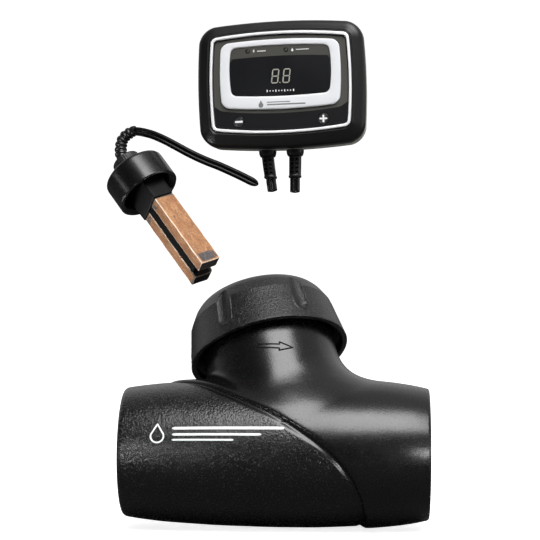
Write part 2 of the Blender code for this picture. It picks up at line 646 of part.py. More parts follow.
# name, size, centre, material, bevel
INNER_BLOCKS = [
    ("display_module", (36.0, 10.9, 24.0), (0, -3.75, 5.7), DISPLAY_BLACK, 0.6),
    ("circuit_board", (100.0, 1.6, 72.0), (0, 2.9, 0), BOARD_GREEN, 0.0),
    ("controller_chip", (12.0, 1.8, 12.0), (14.0, 4.9, -6.0), CHIP_BLACK, 0.3),
    ("terminal_block", (32.0, 9.0, 9.0), (0.6, 8.5, -27.0), TERMINAL_GREEN, 0.4)]

BOX_LEADS = [             # name, x, sideways lean of the boot, sideways slope of the lead
    ("power", -14.2, 2.4, 0.12857), ("signal", 8.6, -0.6, -0.02)]
BOX_LEAD_Y = 8.0
BOX_LEAD_DROPS = (0, 3.0, 7.0, 10.6)  # stations below the pivot
BOX_LEAD_PIVOT_DROP = 25.2            # pivot below the box
BOX_BOOT_STATIONS = [     # share of the lean, height from the box's underside, radius
    (0.0, 5.4, 6.4), (0.0, 4.0, 6.4), (0.0, 3.95, 4.9), (0.0, -0.2, 4.9), (0.0, -0.25, 7.6),
    (0.0, -2.6, 7.5), (0.02, -4.9, 6.4), (0.04, -5.2, 4.9), (0.3, -12.0, 4.9),
    (0.62, -18.0, 4.95), (0.9, -23.0, 5.0)]


def box_line(inset):
    """Outline of the box, drawn in by inset."""
    return bowed_outline(BOX_HALF_WIDTH - inset, BOX_HALF_HEIGHT - inset, BOX_BOW,
                         BOX_CORNER - inset * 0.9)


def opening_line(inset, corner):
    """Outline of the face opening, drawn in by inset."""
    return bowed_outline(OPENING_HALF_WIDTH - inset, OPENING_HALF_HEIGHT - inset, FACE_BOW,
                         corner, centre_z=FACE_Z)


def window_line(growth):
    return bowed_outline(WINDOW_HALF_WIDTH + growth, WINDOW_HALF_HEIGHT + growth, (2.0, 1.6),
                         4.0 + growth, count=28, centre_z=WINDOW_Z)


def ring_line(inset):
    """Outer outline of the trim ring round the window."""
    return bowed_outline(RING_HALF_WIDTH - inset, RING_HALF_HEIGHT - inset, (1.8, 2.6),
                         6.0 - inset, count=28, centre_z=RING_Z)


def add_corner_features(body, features, box_axis):
    for x_sign, z_sign in CORNERS:
        for name, operation, radius, start, end, facets, x, z in features:
            tool = cylinder("%s_%d_%d" % (name, x_sign, z_sign), radius, start, end, box_axis,
                            segments=facets, **facing_front(x_sign * x, z_sign * z))
            boolean(body, tool, operation)


def build_bezel(box_axis):
    opening = opening_line(0.0, corner=4.5)
    ledge = bowed_outline(LEDGE_HALF_WIDTH, LEDGE_HALF_HEIGHT, LEDGE_BOW, 3.0,
                          centre_z=FACE_Z)
    outside = [(box_line(inset), y) for inset, y in (
        (0.0, -SEAM), (0.0, -5.0), (0.9, -9.6), (2.6, -11.8), (5.2, -12.9))]
    inside = [(opening, -13.4), (opening, LEDGE_Y), (ledge, LEDGE_Y), (ledge, -7.0),
              (box_line(WALL), -7.0), (box_line(WALL), -SEAM)]
    bezel = loft("front_bezel", outside + inside, box_axis, BEZEL_PLASTIC, loop=True)
    add_corner_features(bezel, BEZEL_CORNER_FEATURES, box_axis)


def build_gasket(box_axis):
    rings = [(box_line(inset), y) for inset, y in (
        (0.7, -GASKET_HALF), (0.7, GASKET_HALF), (2.3, GASKET_HALF), (2.3, -GASKET_HALF))]
    loft("case_gasket", rings, box_axis, SEAL_RUBBER, loop=True)


def build_shell(box_axis):
    """Rear shell with screw bosses, board standoffs, two keyholes and two lead holes."""
    rings = [(box_line(inset), y) for inset, y in (
        (4.0, BOX_BACK), (1.6, BOX_BACK - 1.2), (0.7, BOX_BACK - 4.0), (0.0, SEAM),
        (WALL, SEAM), (WALL + 0.8, BOX_BACK - 3.4), (WALL + 2.0, BOX_BACK - WALL))]
    shell = loft("rear_shell", rings, box_axis, SHELL_PLASTIC)
    add_corner_features(shell, SHELL_CORNER_FEATURES, box_axis)
    for side in (-1, 1):
        x = side * KEYHOLE_X
        boolean(shell, cylinder("keyhole_%d" % side, KEYHOLE_R, -25.0, -10.0, box_axis,
                                segments=12, **facing_front(x, KEYHOLE_Z)))
        boolean(shell, block("keyslot_%d" % side, KEYSLOT_SIZE, (x, BOX_BACK, KEYSLOT_Z),
                             box_axis))
    for key, x, _, _ in BOX_LEADS:
        boolean(shell, cylinder("lead_hole_" + key, LEAD_HOLE_R, -60.0, -44.0, box_axis,
                                location=(x, BOX_LEAD_Y, 0)))


def build_case_screws(box_axis):
    """Numbered from the upper left, seen from the front."""
    for k, (x_sign, z_sign) in enumerate(((-1, 1), (1, 1), (-1, -1), (1, -1))):
        turned("case_screw_%d" % (k + 1), SCREW_PROFILE, box_axis, SCREW_STEEL, steps=8,
               **facing_front(x_sign * SCREW_X, z_sign * SCREW_Z))


def build_trim_rings(box_axis):
    rings = [(opening_line(inset, corner), y) for inset, corner, y in (
        (GAP, 4.2, PLATE_BACK), (GAP, 4.2, -13.0), (1.3, 3.4, -13.5),
        (TRIM_WIDTH, 2.8, -13.0), (TRIM_WIDTH, 2.8, PLATE_BACK))]
    loft("trim_ring_outer", rings, box_axis, TRIM_SILVER, loop=True)
    foot = PLATE_FRONT - GAP
    loft("trim_ring_inner", [
        (ring_line(0.0), foot), (ring_line(0.0), -12.9), (ring_line(0.7), -13.5),
        (window_line(0.7), -13.5), (window_line(0.0), -12.9), (window_line(0.0), foot)],
        box_axis, TRIM_SILVER, loop=True)


def build_face_plate(box_axis):
    outline = opening_line(TRIM_WIDTH + GAP, corner=2.6)
    plate = loft("face_plate", [(outline, PLATE_BACK), (outline, PLATE_FRONT)], box_axis,
                 FACE_FILM)
    hole = window_line(0.0)
    boolean(plate, loft("window_cut", [(hole, 0.0), (hole, -20.0)], box_axis))
    return plate


def build_window_and_leds(box_axis):
    pane = window_line(-GAP)
    window = loft("display_window", [(pane, -9.6), (pane, -12.5)], box_axis, WINDOW_TINT)
    for key, x in LEDS:
        spot = facing_front(x, LED_Z)
        boolean(window, cylinder("led_hole_" + key, LED_HOLE_R, 5.0, 15.0, box_axis,
                                 segments=8, **spot))
        turned("led_" + key, LED_PROFILE, box_axis, LED_CLEAR, steps=8, **spot)


def build_buttons(box_axis, plate):
    """Two buttons through the face plate, each in front of a switch with a plunger."""
    for key, side in (("minus", -1), ("plus", 1)):
        axis = frame(key + "_axis", box_axis, **facing_front(side * BUTTON_X, BUTTON_Z))
        boolean(plate, cylinder("button_hole_" + key, BUTTON_R + BUTTON_CLEARANCE, 0.0, 20.0,
                                axis))
        turned("button_" + key, BUTTON_PROFILE, axis, BUTTON_BLACK, steps=16)
        switch = block("switch_" + key, SWITCH_SIZE, (0, 0, 0.1), axis, SWITCH_BODY, bevel=0.3)
        boolean(switch, cylinder("plunger_" + key, 1.7, 1.0, 5.8, axis, segments=12), 'UNION')


def build_electronics(box_axis):
    for name, size, centre, mat, bevel in INNER_BLOCKS:
        block(name, size, centre, box_axis, mat, bevel)
    turned("capacitor", CAPACITOR_PROFILE, box_axis, CAN_ALUMINIUM, steps=14,
           **facing_front(CAPACITOR_X, CAPACITOR_Z))


def build_box_leads(box_axis):
    """Strain-relief boots through the lower wall, and the short leads below them."""
    for key, x, lean, slope in BOX_LEADS:
        boot(key + "_boot", [(x + share * lean, BOX_LEAD_Y, z - BOX_HALF_HEIGHT, radius)
                             for share, z, radius in BOX_BOOT_STATIONS], box_axis)
        pivot = frame(key + "_lead_pivot", box_axis, location=(
            x + lean, BOX_LEAD_Y, -BOX_HALF_HEIGHT - BOX_LEAD_PIVOT_DROP))
        path = [(0, 0, 1.9)] + [(slope * drop, 0, -drop) for drop in BOX_LEAD_DROPS]
        lead(key + "_lead", path, half_width=4.1, half_thickness=2.3, parent=pivot, facets=12)


def build_controller(group):
    box_axis = frame("box_axis", group, location=BOX_CENTRE, rotation=rot('Z', BOX_YAW)
                     @ rot('X', BOX_PITCH) @ rot('Y', BOX_TILT))
    build_bezel(box_axis)
    build_gasket(box_axis)
    build_shell(box_axis)
    build_case_screws(box_axis)
    build_trim_rings(box_axis)
    plate = build_face_plate(box_axis)
    build_window_and_leds(box_axis)
    build_buttons(box_axis, plate)
    build_electronics(box_axis)
    build_box_leads(box_axis)


# ================================================================ the group
group_origin = frame("group_origin", None, location=GROUP_SHIFT)
build_chamber(group_origin)
build_probe(group_origin)
build_controller(group_origin)
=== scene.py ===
"""Looks for an electrode water-treatment set: flow chamber, electrode probe and controller.

The chamber lies along x and its capped branch leans back (+y) and to the left (-x). The
controller stands above it with its face towards -y. The probe is between them on the left,
its bars pointing down, right and forwards. Lengths are millimetres in the functions here
and metres in the meshes.
"""
from math import acos, atan2, ceil, cos, hypot, pi, radians, sin, sqrt

import bmesh
import bpy
import numpy as np
from mathutils import Matrix, Vector
from mathutils.geometry import tessellate_polygon


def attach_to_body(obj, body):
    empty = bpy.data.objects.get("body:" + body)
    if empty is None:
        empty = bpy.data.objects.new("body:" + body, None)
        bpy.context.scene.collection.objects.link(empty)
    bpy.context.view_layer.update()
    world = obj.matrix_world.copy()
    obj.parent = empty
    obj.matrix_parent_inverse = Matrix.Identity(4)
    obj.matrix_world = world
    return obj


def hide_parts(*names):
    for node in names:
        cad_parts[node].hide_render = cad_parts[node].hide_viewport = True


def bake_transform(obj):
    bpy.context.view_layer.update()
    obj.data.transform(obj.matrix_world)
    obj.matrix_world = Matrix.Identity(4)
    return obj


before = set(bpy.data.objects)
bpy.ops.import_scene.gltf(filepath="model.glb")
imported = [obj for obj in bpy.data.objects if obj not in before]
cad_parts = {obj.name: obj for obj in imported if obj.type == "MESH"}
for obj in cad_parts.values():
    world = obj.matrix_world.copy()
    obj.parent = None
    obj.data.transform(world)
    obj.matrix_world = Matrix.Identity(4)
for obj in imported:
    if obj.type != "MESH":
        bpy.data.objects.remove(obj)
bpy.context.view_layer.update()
MM = 0.001


# ================================================================ frames
def turn_about(axis, degrees):
    return np.array(Matrix.Rotation(radians(degrees), 3, axis), float)


class Frame:
    """A rigid frame: a rotation and an origin in millimetres."""

    def __init__(self, rotation, origin):
        self.rotation = np.array(rotation, float)
        self.origin = np.array(origin, float)

    def world(self, points):
        """Local millimetres to world metres."""
        return (np.asarray(points, float).reshape(-1, 3) @ self.rotation.T + self.origin) * MM

    def child(self, rotation, origin):
        return Frame(self.rotation @ np.array(rotation, float),
                     self.rotation @ np.array(origin, float) + self.origin)


GROUP = Frame(np.eye(3), (5.56, -24.82, 60.55))
CHAMBER = GROUP.child(turn_about('Y', 0.25) @ turn_about('Z', -2.9) @ turn_about('X', -29.0),
                      (0, 0, 0))
BRANCH_ORIGIN = np.array([12.9, 0, 0])
BRANCH_TURN = turn_about('Y', -13.0)
BRANCH = CHAMBER.child(BRANCH_TURN, BRANCH_ORIGIN)
PROBE_ORIGIN = (-103.75, 0.0, 212.54)
PROBE_AXIS = Vector((0.5475, -0.3949, -0.7377)).normalized()
probe_width = Vector((0.7733, 0.5756, 0.2658))
probe_width = (probe_width - PROBE_AXIS * PROBE_AXIS.dot(probe_width)).normalized()
PROBE = GROUP.child(
    np.array(Matrix((probe_width, PROBE_AXIS.cross(probe_width), PROBE_AXIS)).transposed()),
    PROBE_ORIGIN)
BOX = GROUP.child(turn_about('Z', -8.5) @ turn_about('X', -4.5) @ turn_about('Y', -1.65),
                  (5.2, 0.0, 301.4))


# ================================================================ mesh helpers
def new_mesh(name, verts, faces):
    """verts in world metres; faces an (n, k) array or a list of index lists."""
    me = bpy.data.meshes.new(name)
    verts = np.asarray(verts, np.float32)
    if isinstance(faces, np.ndarray):
        me.vertices.add(len(verts))
        me.vertices.foreach_set("co", verts.ravel())
        me.loops.add(faces.size)
        me.loops.foreach_set("vertex_index", faces.astype(np.int32).ravel())
        me.polygons.add(len(faces))
        me.polygons.foreach_set("loop_start",
                                np.arange(0, faces.size, faces.shape[1], dtype=np.int32))
        me.update(calc_edges=True)
    else:
        me.from_pydata([tuple(v) for v in verts], [], [list(f) for f in faces])
        me.update()
    return me


def tidy(me, weld=0.0):
    """Merge vertices closer than weld millimetres and turn the faces outwards."""
    bm = bmesh.new()
    bm.from_mesh(me)
    if weld:
        bmesh.ops.remove_doubles(bm, verts=bm.verts[:], dist=weld * MM)
    bmesh.ops.recalc_face_normals(bm, faces=bm.faces[:])
    bm.to_mesh(me)
    bm.free()
    return me


def link(name, me):
    o = bpy.data.objects.new(name, me)
    bpy.context.scene.collection.objects.link(o)
    return o


def piece(name, me, mat, slot, body="root", replaces=None, sharp=40.0, weld=0.0):
    """A finished object; edges sharper than sharp degrees stay crisp."""
    if weld:
        tidy(me, weld)
    if sharp is not None:
        me.shade_smooth()
        me.set_sharp_from_angle(angle=radians(sharp))
    me.materials.clear()
    me.materials.append(mat)
    o = link(name, me)
    if body:
        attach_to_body(o, body)
    if replaces:
        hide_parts(replaces)
    return o


def attach(me, name, values, kind='FLOAT'):
    layer = me.attributes.new(name, kind, 'POINT')
    layer.data.foreach_set("value" if kind == 'FLOAT' else "vector",
                           np.asarray(values, np.float32).ravel())


def evaluated(o):
    """A new mesh of the object with its modifiers applied."""
    bpy.context.view_layer.update()
    return bpy.data.meshes.new_from_object(
        o.evaluated_get(bpy.context.evaluated_depsgraph_get()))


def full_turn(steps):
    return np.arange(steps) * 2 * pi / steps


def ring_quads(rings, count, loop=False):
    """Quads between successive rings of count vertices; loop joins the last to the first."""
    faces = []
    for i in range(rings if loop else rings - 1):
        a, b = i * count, ((i + 1) % rings) * count
        for j in range(count):
            k = (j + 1) % count
            faces.append([a + j, a + k, b + k, b + j])
    return faces


def rounded(profile, radius, arc=4, closed=False):
    """Fillet the corners of a (radius, z) profile. radius: one number or one per point."""
    n = len(profile)
    radii = [radius] * n if isinstance(radius, (int, float)) else list(radius)
    out = []
    for i, p in enumerate(profile):
        p = np.array(p, float)
        if not closed and i in (0, n - 1) or radii[i] <= 0:
            out.append(tuple(p))
            continue
        to_last = np.array(profile[i - 1], float) - p
        to_next = np.array(profile[(i + 1) % n], float) - p
        last_length, next_length = np.hypot(*to_last), np.hypot(*to_next)
        if last_length < 1e-6 or next_length < 1e-6:
            out.append(tuple(p))
            continue
        to_last, to_next = to_last / last_length, to_next / next_length
        angle = acos(max(-1.0, min(1.0, float(to_last @ to_next))))
        if angle > pi - 0.05:
            out.append(tuple(p))
            continue
        cut = min(radii[i] / np.tan(angle / 2), last_length * 0.45, next_length * 0.45)
        for k in range(arc + 1):
            t = k / arc
            q = (1 - t) ** 2 * (p + to_last * cut) + 2 * t * (1 - t) * p \
                + t * t * (p + to_next * cut)
            out.append(tuple(q))
    return out


def dense(profile, step, closed=False):
    """Add points along a profile so that no span is longer than step."""
    out = []
    points = list(profile) + ([profile[0]] if closed else [])
    for p, q in zip(points, points[1:]):
        n = max(1, int(ceil(hypot(q[0] - p[0], q[1] - p[1]) / step)))
        for k in range(n):
            out.append((p[0] + (q[0] - p[0]) * k / n, p[1] + (q[1] - p[1]) * k / n))
    if not closed:
        out.append(points[-1])
    return out


def spline_ends(points):
    """The points as an array, with one extra carried on past each end."""
    p = np.array(points, float)
    return np.vstack([2 * p[0] - p[1], p, 2 * p[-1] - p[-2]])


def spline_at(p, i, t):
    """Catmull-Rom between p[i] and p[i + 1]."""
    return 0.5 * (2 * p[i] + (p[i + 1] - p[i - 1]) * t
                  + (2 * p[i - 1] - 5 * p[i] + 4 * p[i + 1] - p[i + 2]) * t * t
                  + (3 * p[i] - p[i - 1] - 3 * p[i + 1] + p[i + 2]) * t ** 3)


def smooth_line(points, step):
    """A curve through (radius, z) points, resampled at about step."""
    p = spline_ends(points)
    out = []
    for i in range(1, len(p) - 2):
        n = max(1, int(ceil(np.hypot(*(p[i + 1] - p[i])) / step)))
        out += [spline_at(p, i, k / n) for k in range(n)]
    out.append(p[-2])
    return [tuple(q) for q in out]


def turned(name, profile, place, mat, slot, steps=None, angles=None, closed=False, push=None,
           **kw):
    """Turn a (radius, z) profile about z. push(angle, r, z) returns moved r and z arrays."""
    if angles is None:
        angles = full_turn(steps)
    profile = np.array(profile, float)
    steps, m = len(angles), len(profile)
    r = np.repeat(profile[None, :, 0], steps, 0)
    z = np.repeat(profile[None, :, 1], steps, 0)
    angle = np.repeat(angles[:, None], m, 1)
    if push:
        r, z = push(angle, r, z)
    verts = np.stack([r * np.cos(angle), r * np.sin(angle), z], -1).reshape(-1, 3)
    i = np.arange(steps)[:, None]
    j = np.arange(m if closed else m - 1)[None, :]
    here, there, up = i * m, ((i + 1) % steps) * m, (j + 1) % m
    faces = np.stack([here + j, here + up, there + up, there + j], -1).reshape(-1, 4)
    me = new_mesh(name, place.world(verts), faces if closed else faces.tolist())
    return piece(name, me, mat, slot, weld=0.002, **kw)


def smoothstep(a, b, x):
    t = np.clip((x - a) / (b - a), 0, 1)
    return t * t * (3 - 2 * t)


def smooth_min(a, b, k):
    h = np.maximum(k - np.abs(a - b), 0) / k
    return np.minimum(a, b) - h * h * k * 0.25


def smooth_max(a, b, k):
    return -smooth_min(-a, -b, k)


def thread_distance(z, angle, start, pitch):
    """Distance along z to the nearest turn of a helix."""
    turn = (z - start - pitch * (angle / (2 * pi))) / pitch
    return np.abs(turn - np.round(turn)) * pitch


def smooth_table(points, blur, low=-170.0, high=170.0, step=0.5):
    """Linear through (position, value) points, carried on past both ends, then blurred."""
    xs, ys = zip(*points)
    at = np.arange(low, high + step, step)
    first = (ys[1] - ys[0]) / (xs[1] - xs[0])
    last = (ys[-1] - ys[-2]) / (xs[-1] - xs[-2])
    y = np.interp(at, xs, ys)
    y = np.where(at < xs[0], ys[0] + (at - xs[0]) * first, y)
    y = np.where(at > xs[-1], ys[-1] + (at - xs[-1]) * last, y)
    n = int(4 * blur / step)
    kernel = np.exp(-0.5 * (np.arange(-n, n + 1) * step / blur) ** 2)
    kernel /= kernel.sum()
    padded = np.concatenate([y[0] - first * step * np.arange(n, 0, -1), y,
                             y[-1] + last * step * np.arange(1, n + 1)])
    return at, np.convolve(padded, kernel, 'valid')


def unit(v):
    return v / np.maximum(np.linalg.norm(v, axis=1, keepdims=True), 1e-9)


# ================================================================ shader helpers
def srgb(*rgb):
    """0-255 display colour to linear."""
    out = []
    for c in rgb:
        c = c / 255.0
        out.append(c / 12.92 if c <= 0.04045 else ((c + 0.055) / 1.055) ** 2.4)
    return tuple(out)


def rgba(*rgb):
    return (*srgb(*rgb), 1.0)


class Shader:
    """Shorthand for building a node tree. Any value may be a number or a socket."""

    def __init__(self, owner):
        owner.use_nodes = True
        self.tree = owner.node_tree
        self.tree.nodes.clear()
        self.coord = None

    def feed(self, socket, value):
        if isinstance(value, bpy.types.NodeSocket):
            self.tree.links.new(value, socket)
        else:
            socket.default_value = value

    def add(self, kind, inputs=(), **settings):
        node = self.tree.nodes.new("ShaderNode" + kind)
        for key, value in settings.items():
            setattr(node, key, value)
        for key, value in dict(inputs).items():
            self.feed(node.inputs[key], value)
        return node

    def where(self):
        """Texture coordinates: the object's, unless the material has set its own."""
        if self.coord is None:
            self.coord = self.add("TexCoord").outputs["Object"]
        return self.coord

    def math(self, operation, a, b=0.0):
        return self.add("Math", {0: a, 1: b}, operation=operation).outputs[0]

    def times(self, a, b):
        return self.math('MULTIPLY', a, b)

    def plus(self, a, b):
        return self.math('ADD', a, b)

    def minus(self, a, b):
        return self.math('SUBTRACT', a, b)

    def affine(self, x, gain, offset, clamp=False):
        return self.add("Math", {0: x, 1: gain, 2: offset}, operation='MULTIPLY_ADD',
                        use_clamp=clamp).outputs[0]

    def ramp(self, value, low, high, start=0.0, end=1.0):
        """Smoothly from start, where value is low, to end, where it is high."""
        return self.add("MapRange", {"Value": value, "From Min": low, "From Max": high,
                                     "To Min": start, "To Max": end},
                        interpolation_type='SMOOTHSTEP').outputs[0]

    def noise(self, scale, detail=2.0, rough=0.5, distortion=0.0, coord=None):
        return self.add("TexNoise", {"Vector": coord or self.where(), "Scale": scale,
                                     "Detail": detail, "Roughness": rough,
                                     "Distortion": distortion}).outputs[0]

    def voronoi(self, scale):
        return self.add("TexVoronoi", {"Vector": self.where(), "Scale": scale}).outputs[0]

    def stretched(self, vector, scale):
        return self.add("Mapping", {"Vector": vector, "Scale": scale}).outputs[0]

    def tint(self, colour, factor):
        """A plain colour scaled by a factor."""
        return self.add("VectorMath", {0: colour, "Scale": factor},
                        operation='SCALE').outputs[0]

    def mix(self, fac, a, b, kind='RGBA'):
        first, out = {'FLOAT': (2, 0), 'VECTOR': (4, 1), 'RGBA': (6, 2)}[kind]
        return self.add("Mix", {0: fac, first: a, first + 1: b}, data_type=kind).outputs[out]

    def layer(self, base, colour, mask, amount):
        """Lay a colour over the base where the mask says."""
        return self.mix(self.times(mask, amount), base, colour)

    def bump(self, height, depth_mm, normal=None):
        node = self.add("Bump", {"Strength": 1.0, "Distance": depth_mm * MM,
                                 "Height": height})
        if normal is not None:
            self.feed(node.inputs["Normal"], normal)
        return node.outputs[0]

    def edges(self, low, high):
        """1 on convex edges."""
        return self.ramp(self.add("NewGeometry").outputs["Pointiness"], low, high)

    def attribute(self, name, output="Fac"):
        return self.add("Attribute", attribute_name=name).outputs[output]

    def camera_ray(self):
        return self.add("LightPath").outputs["Is Camera Ray"]


class Material(Shader):
    SOCKETS = {"colour": "Base Color", "rough": "Roughness", "metal": "Metallic",
               "normal": "Normal", "spec": "Specular IOR Level"}

    def __init__(self, name):
        self.material = bpy.data.materials.new(name)
        super().__init__(self.material)
        self.bsdf = self.add("BsdfPrincipled")
        self.output = self.add("OutputMaterial", {0: self.bsdf.outputs[0]})

    def finish(self, **values):
        for key, value in values.items():
            self.feed(self.bsdf.inputs[self.SOCKETS[key]], value)
        return self.material


# ================================================================ materials
def plastic(name, colour, rough, grain, depth, mottle=0.18, spec=0.5, wormy=0.0, edge_glint=0.0,
            fine=0.0, grain_glints=0.0):
    """Moulded plastic with slow colour drift (mottle) and roughness that follows the grain.

    grain and depth are the mould grain's scale and depth in mm, wormy its distortion, fine
    the depth of a finer grain, edge_glint the strength of a painted highlight on convex edges,
    grain_glints the strength of painted glints on the high grain."""
    s = Material(name)
    slow = s.noise(scale=22.0, detail=3.0, rough=0.55)
    mid = s.noise(scale=140.0, detail=2.0, rough=0.5)
    cell = s.noise(scale=grain, detail=2.0, rough=0.55, distortion=wormy)
    shade = s.affine(slow, gain=2 * mottle, offset=1.0 - mottle)
    shade = s.times(shade, s.affine(cell, gain=0.5, offset=0.75))
    skin = s.tint(colour, shade)
    # painted glints: the high grain is paled towards grey as if catching the light
    if grain_glints:
        skin = s.layer(skin, rgba(72, 73, 72), s.ramp(cell, low=0.54, high=0.68), grain_glints)
    # painted highlight: convex edges are paled towards grey as if catching the light
    if edge_glint:
        skin = s.layer(skin, rgba(120, 120, 118), s.edges(low=0.52, high=0.60), edge_glint)
    relief = s.bump(cell, depth)
    if fine:
        relief = s.bump(s.noise(scale=grain * 3.1, detail=1.0, rough=0.5), fine, relief)
    gloss = s.affine(cell, gain=0.16, offset=rough - 0.08)
    gloss = s.affine(mid, gain=0.08, offset=s.minus(gloss, 0.04), clamp=True)
    return s.finish(colour=skin, rough=gloss, normal=relief, spec=spec)


def chamber_material():
    """Black moulding: coarse wormy grain on the recessed panel, a satin skin elsewhere; painted
    glints on the panel's high grain and a painted highlight on convex edges.
    """
    s = Material("chamber_black")
    zone = s.attribute("panel")          # 1 on the grained panel
    slow = s.noise(scale=16.0, detail=3.0, rough=0.55)
    worms = s.noise(scale=560.0, detail=2.0, rough=0.55, distortion=0.9)
    coarse = s.affine(s.voronoi(scale=620.0), gain=-0.45,
                      offset=s.affine(worms, gain=0.8, offset=0.25))
    satin = s.noise(scale=820.0, detail=2.0, rough=0.6)
    lumps = s.noise(scale=34.0, detail=1.0, rough=0.4)
    shade = s.times(s.affine(slow, gain=0.36, offset=0.82),
                    s.affine(coarse, gain=0.8, offset=0.6))
    skin = s.tint(srgb(9, 10, 10), shade)
    # painted glints: the panel's high worms are paled as if catching the light
    skin = s.layer(skin, rgba(66, 67, 66), mask=s.ramp(worms, low=0.56, high=0.68),
                   amount=s.times(zone, 0.20))
    # painted highlight: convex edges are paled as if catching the light
    skin = s.layer(skin, rgba(78, 80, 80), mask=s.edges(low=0.53, high=0.62), amount=0.25)
    smooth = s.bump(satin, depth_mm=0.05, normal=s.bump(lumps, depth_mm=0.7))
    return s.finish(
        colour=skin,
        rough=s.mix(zone, s.affine(satin, gain=0.14, offset=0.19),
                    s.affine(coarse, gain=0.22, offset=0.15), kind='FLOAT'),
        normal=s.mix(zone, smooth, s.bump(coarse, depth_mm=0.42), kind='VECTOR'),
        spec=s.mix(zone, 0.5, 0.54, kind='FLOAT'))


def copper_material():
    """Mottled orange-brown copper with dark veins and specks, ragged blue-grey tarnish and
    a painted highlight along the rims. The "bar", "tarnish" and "rim" attributes place them."""
    s = Material("patinated_copper")
    s.coord = s.stretched(s.attribute("bar", "Vector"), scale=(1.0, 1.0, 0.45))
    big = s.noise(scale=95.0, detail=4.0, rough=0.62, distortion=1.4)
    mid = s.noise(scale=330.0, detail=4.0, rough=0.65, distortion=0.8)
    small = s.noise(scale=1100.0, detail=2.0, rough=0.6)
    skin = s.mix(s.ramp(big, low=0.34, high=0.68), rgba(146, 99, 64), rgba(184, 137, 97))
    skin = s.layer(skin, rgba(206, 166, 128), mask=s.ramp(mid, low=0.52, high=0.70), amount=0.6)
    skin = s.layer(skin, rgba(138, 92, 60), mask=s.ramp(small, low=0.42, high=0.62),
                   amount=0.65)
    # veins follow the middle level of a twisted noise
    vein = s.noise(scale=150.0, detail=4.0, rough=0.6, distortion=2.2)
    vein = s.math('ABSOLUTE', s.minus(vein, 0.5))
    vein = s.times(s.ramp(vein, low=0.030, high=0.0), s.ramp(mid, low=0.40, high=0.58))
    skin = s.layer(skin, rgba(92, 62, 44), mask=vein, amount=0.75)
    pit = s.noise(scale=420.0, detail=3.0, rough=0.7)
    pit = s.times(s.ramp(pit, low=0.60, high=0.68), s.ramp(big, low=0.40, high=0.56))
    skin = s.layer(skin, rgba(48, 42, 40), mask=pit, amount=0.85)
    # tarnish: the noises fray its border; above 1.15 it turns black
    tarnish = s.attribute("tarnish")
    ragged = s.plus(tarnish, s.times(s.minus(mid, 0.5), 2.6))
    ragged = s.plus(ragged, s.times(s.minus(small, 0.5), 1.4))
    mask = s.ramp(ragged, low=0.50, high=0.66)
    blue = s.mix(s.ramp(small, low=0.35, high=0.65), rgba(34, 38, 46), rgba(84, 84, 88))
    skin = s.layer(skin, blue, mask=mask, amount=0.92)
    skin = s.mix(s.ramp(tarnish, low=1.15, high=1.45), skin, rgba(15, 15, 16))
    # painted highlight: the bars' edges are paled nearly to white as if catching the light
    rim = s.times(s.attribute("rim"), s.ramp(small, low=0.25, high=0.5))
    skin = s.layer(skin, rgba(255, 236, 212), mask=rim, amount=0.9)
    height = s.plus(s.times(mid, 0.6), s.times(small, 0.4))
    return s.finish(
        colour=skin,
        rough=s.plus(s.affine(small, gain=0.25, offset=0.36), s.times(mask, 0.1)),
        metal=s.minus(0.30, s.times(mask, 0.25)),
        normal=s.bump(height, depth_mm=0.14), spec=0.4)


def metal(name, colour, rough, brush=None, depth=0.01, metallic=1.0, spot=0.06):
    """Metal with fine texture, drawn out where brush gives a coordinate scale; depth in mm,
    spot is the tone variation."""
    s = Material(name)
    if brush:
        line = s.noise(scale=60.0, detail=3.0, rough=0.6, coord=s.stretched(s.where(), brush))
    else:
        line = s.noise(scale=1500.0, detail=2.0, rough=0.5)
    cloud = s.noise(scale=40.0, detail=3.0, rough=0.5)
    shade = s.affine(line, gain=2 * spot,
                     offset=s.affine(cloud, gain=spot, offset=1.0 - 1.5 * spot))
    gloss = s.affine(line, gain=0.14, offset=s.affine(cloud, gain=0.06, offset=rough - 0.1))
    return s.finish(colour=s.tint(colour, shade), rough=gloss, metal=metallic,
                    normal=s.bump(line, depth))


def board_material():
    """Green board with a brick-like trace pattern and pale round pads."""
    s = Material("solder_mask")
    brick = s.add("TexBrick", {
        "Vector": s.where(), "Scale": 260.0, "Color1": rgba(14, 84, 44),
        "Color2": rgba(18, 100, 54), "Mortar": rgba(30, 130, 72), "Mortar Size": 0.05})
    pad = s.ramp(s.voronoi(scale=320.0), low=0.12, high=0.08)
    return s.finish(
        colour=s.layer(brick.outputs[0], rgba(190, 188, 170), mask=pad, amount=0.7),
        rough=s.affine(s.noise(scale=300.0), gain=0.2, offset=0.25),
        normal=s.bump(brick.outputs[1], depth_mm=0.03))


def ink(name, colour):
    """Printed ink with slightly uneven cover."""
    s = Material(name)
    cover = s.noise(scale=900.0, detail=2.0, rough=0.6)
    thin = (*[c * 0.86 for c in colour], 1)
    return s.finish(colour=s.mix(s.ramp(cover, low=0.3, high=0.7), thin, (*colour, 1)),
                    rough=0.45, normal=s.bump(cover, depth_mm=0.012))


def window_material():
    """A dark gloss sheet with a faint haze."""
    s = Material("tinted_window")
    haze = s.noise(scale=30.0, detail=3.0, rough=0.6)
    fine = s.noise(scale=2600.0, detail=2.0, rough=0.5)
    return s.finish(colour=s.mix(haze, rgba(12, 13, 16), rgba(18, 19, 22)),
                    rough=s.affine(haze, gain=0.16, offset=0.26),
                    normal=s.bump(fine, depth_mm=0.004), spec=0.35)


def film(name, colour, rough=0.5, spec=0.3):
    """Overlay film: a very fine matt tooth and slow tone drift."""
    s = Material(name)
    fine = s.noise(scale=3200.0, detail=2.0, rough=0.5)
    slow = s.noise(scale=28.0, detail=2.0, rough=0.5)
    tone = s.mix(slow, (*[c * 0.88 for c in colour], 1), (*[c * 1.1 for c in colour], 1))
    return s.finish(colour=tone, rough=s.affine(fine, gain=0.18, offset=rough - 0.09),
                    normal=s.bump(fine, depth_mm=0.010), spec=spec)


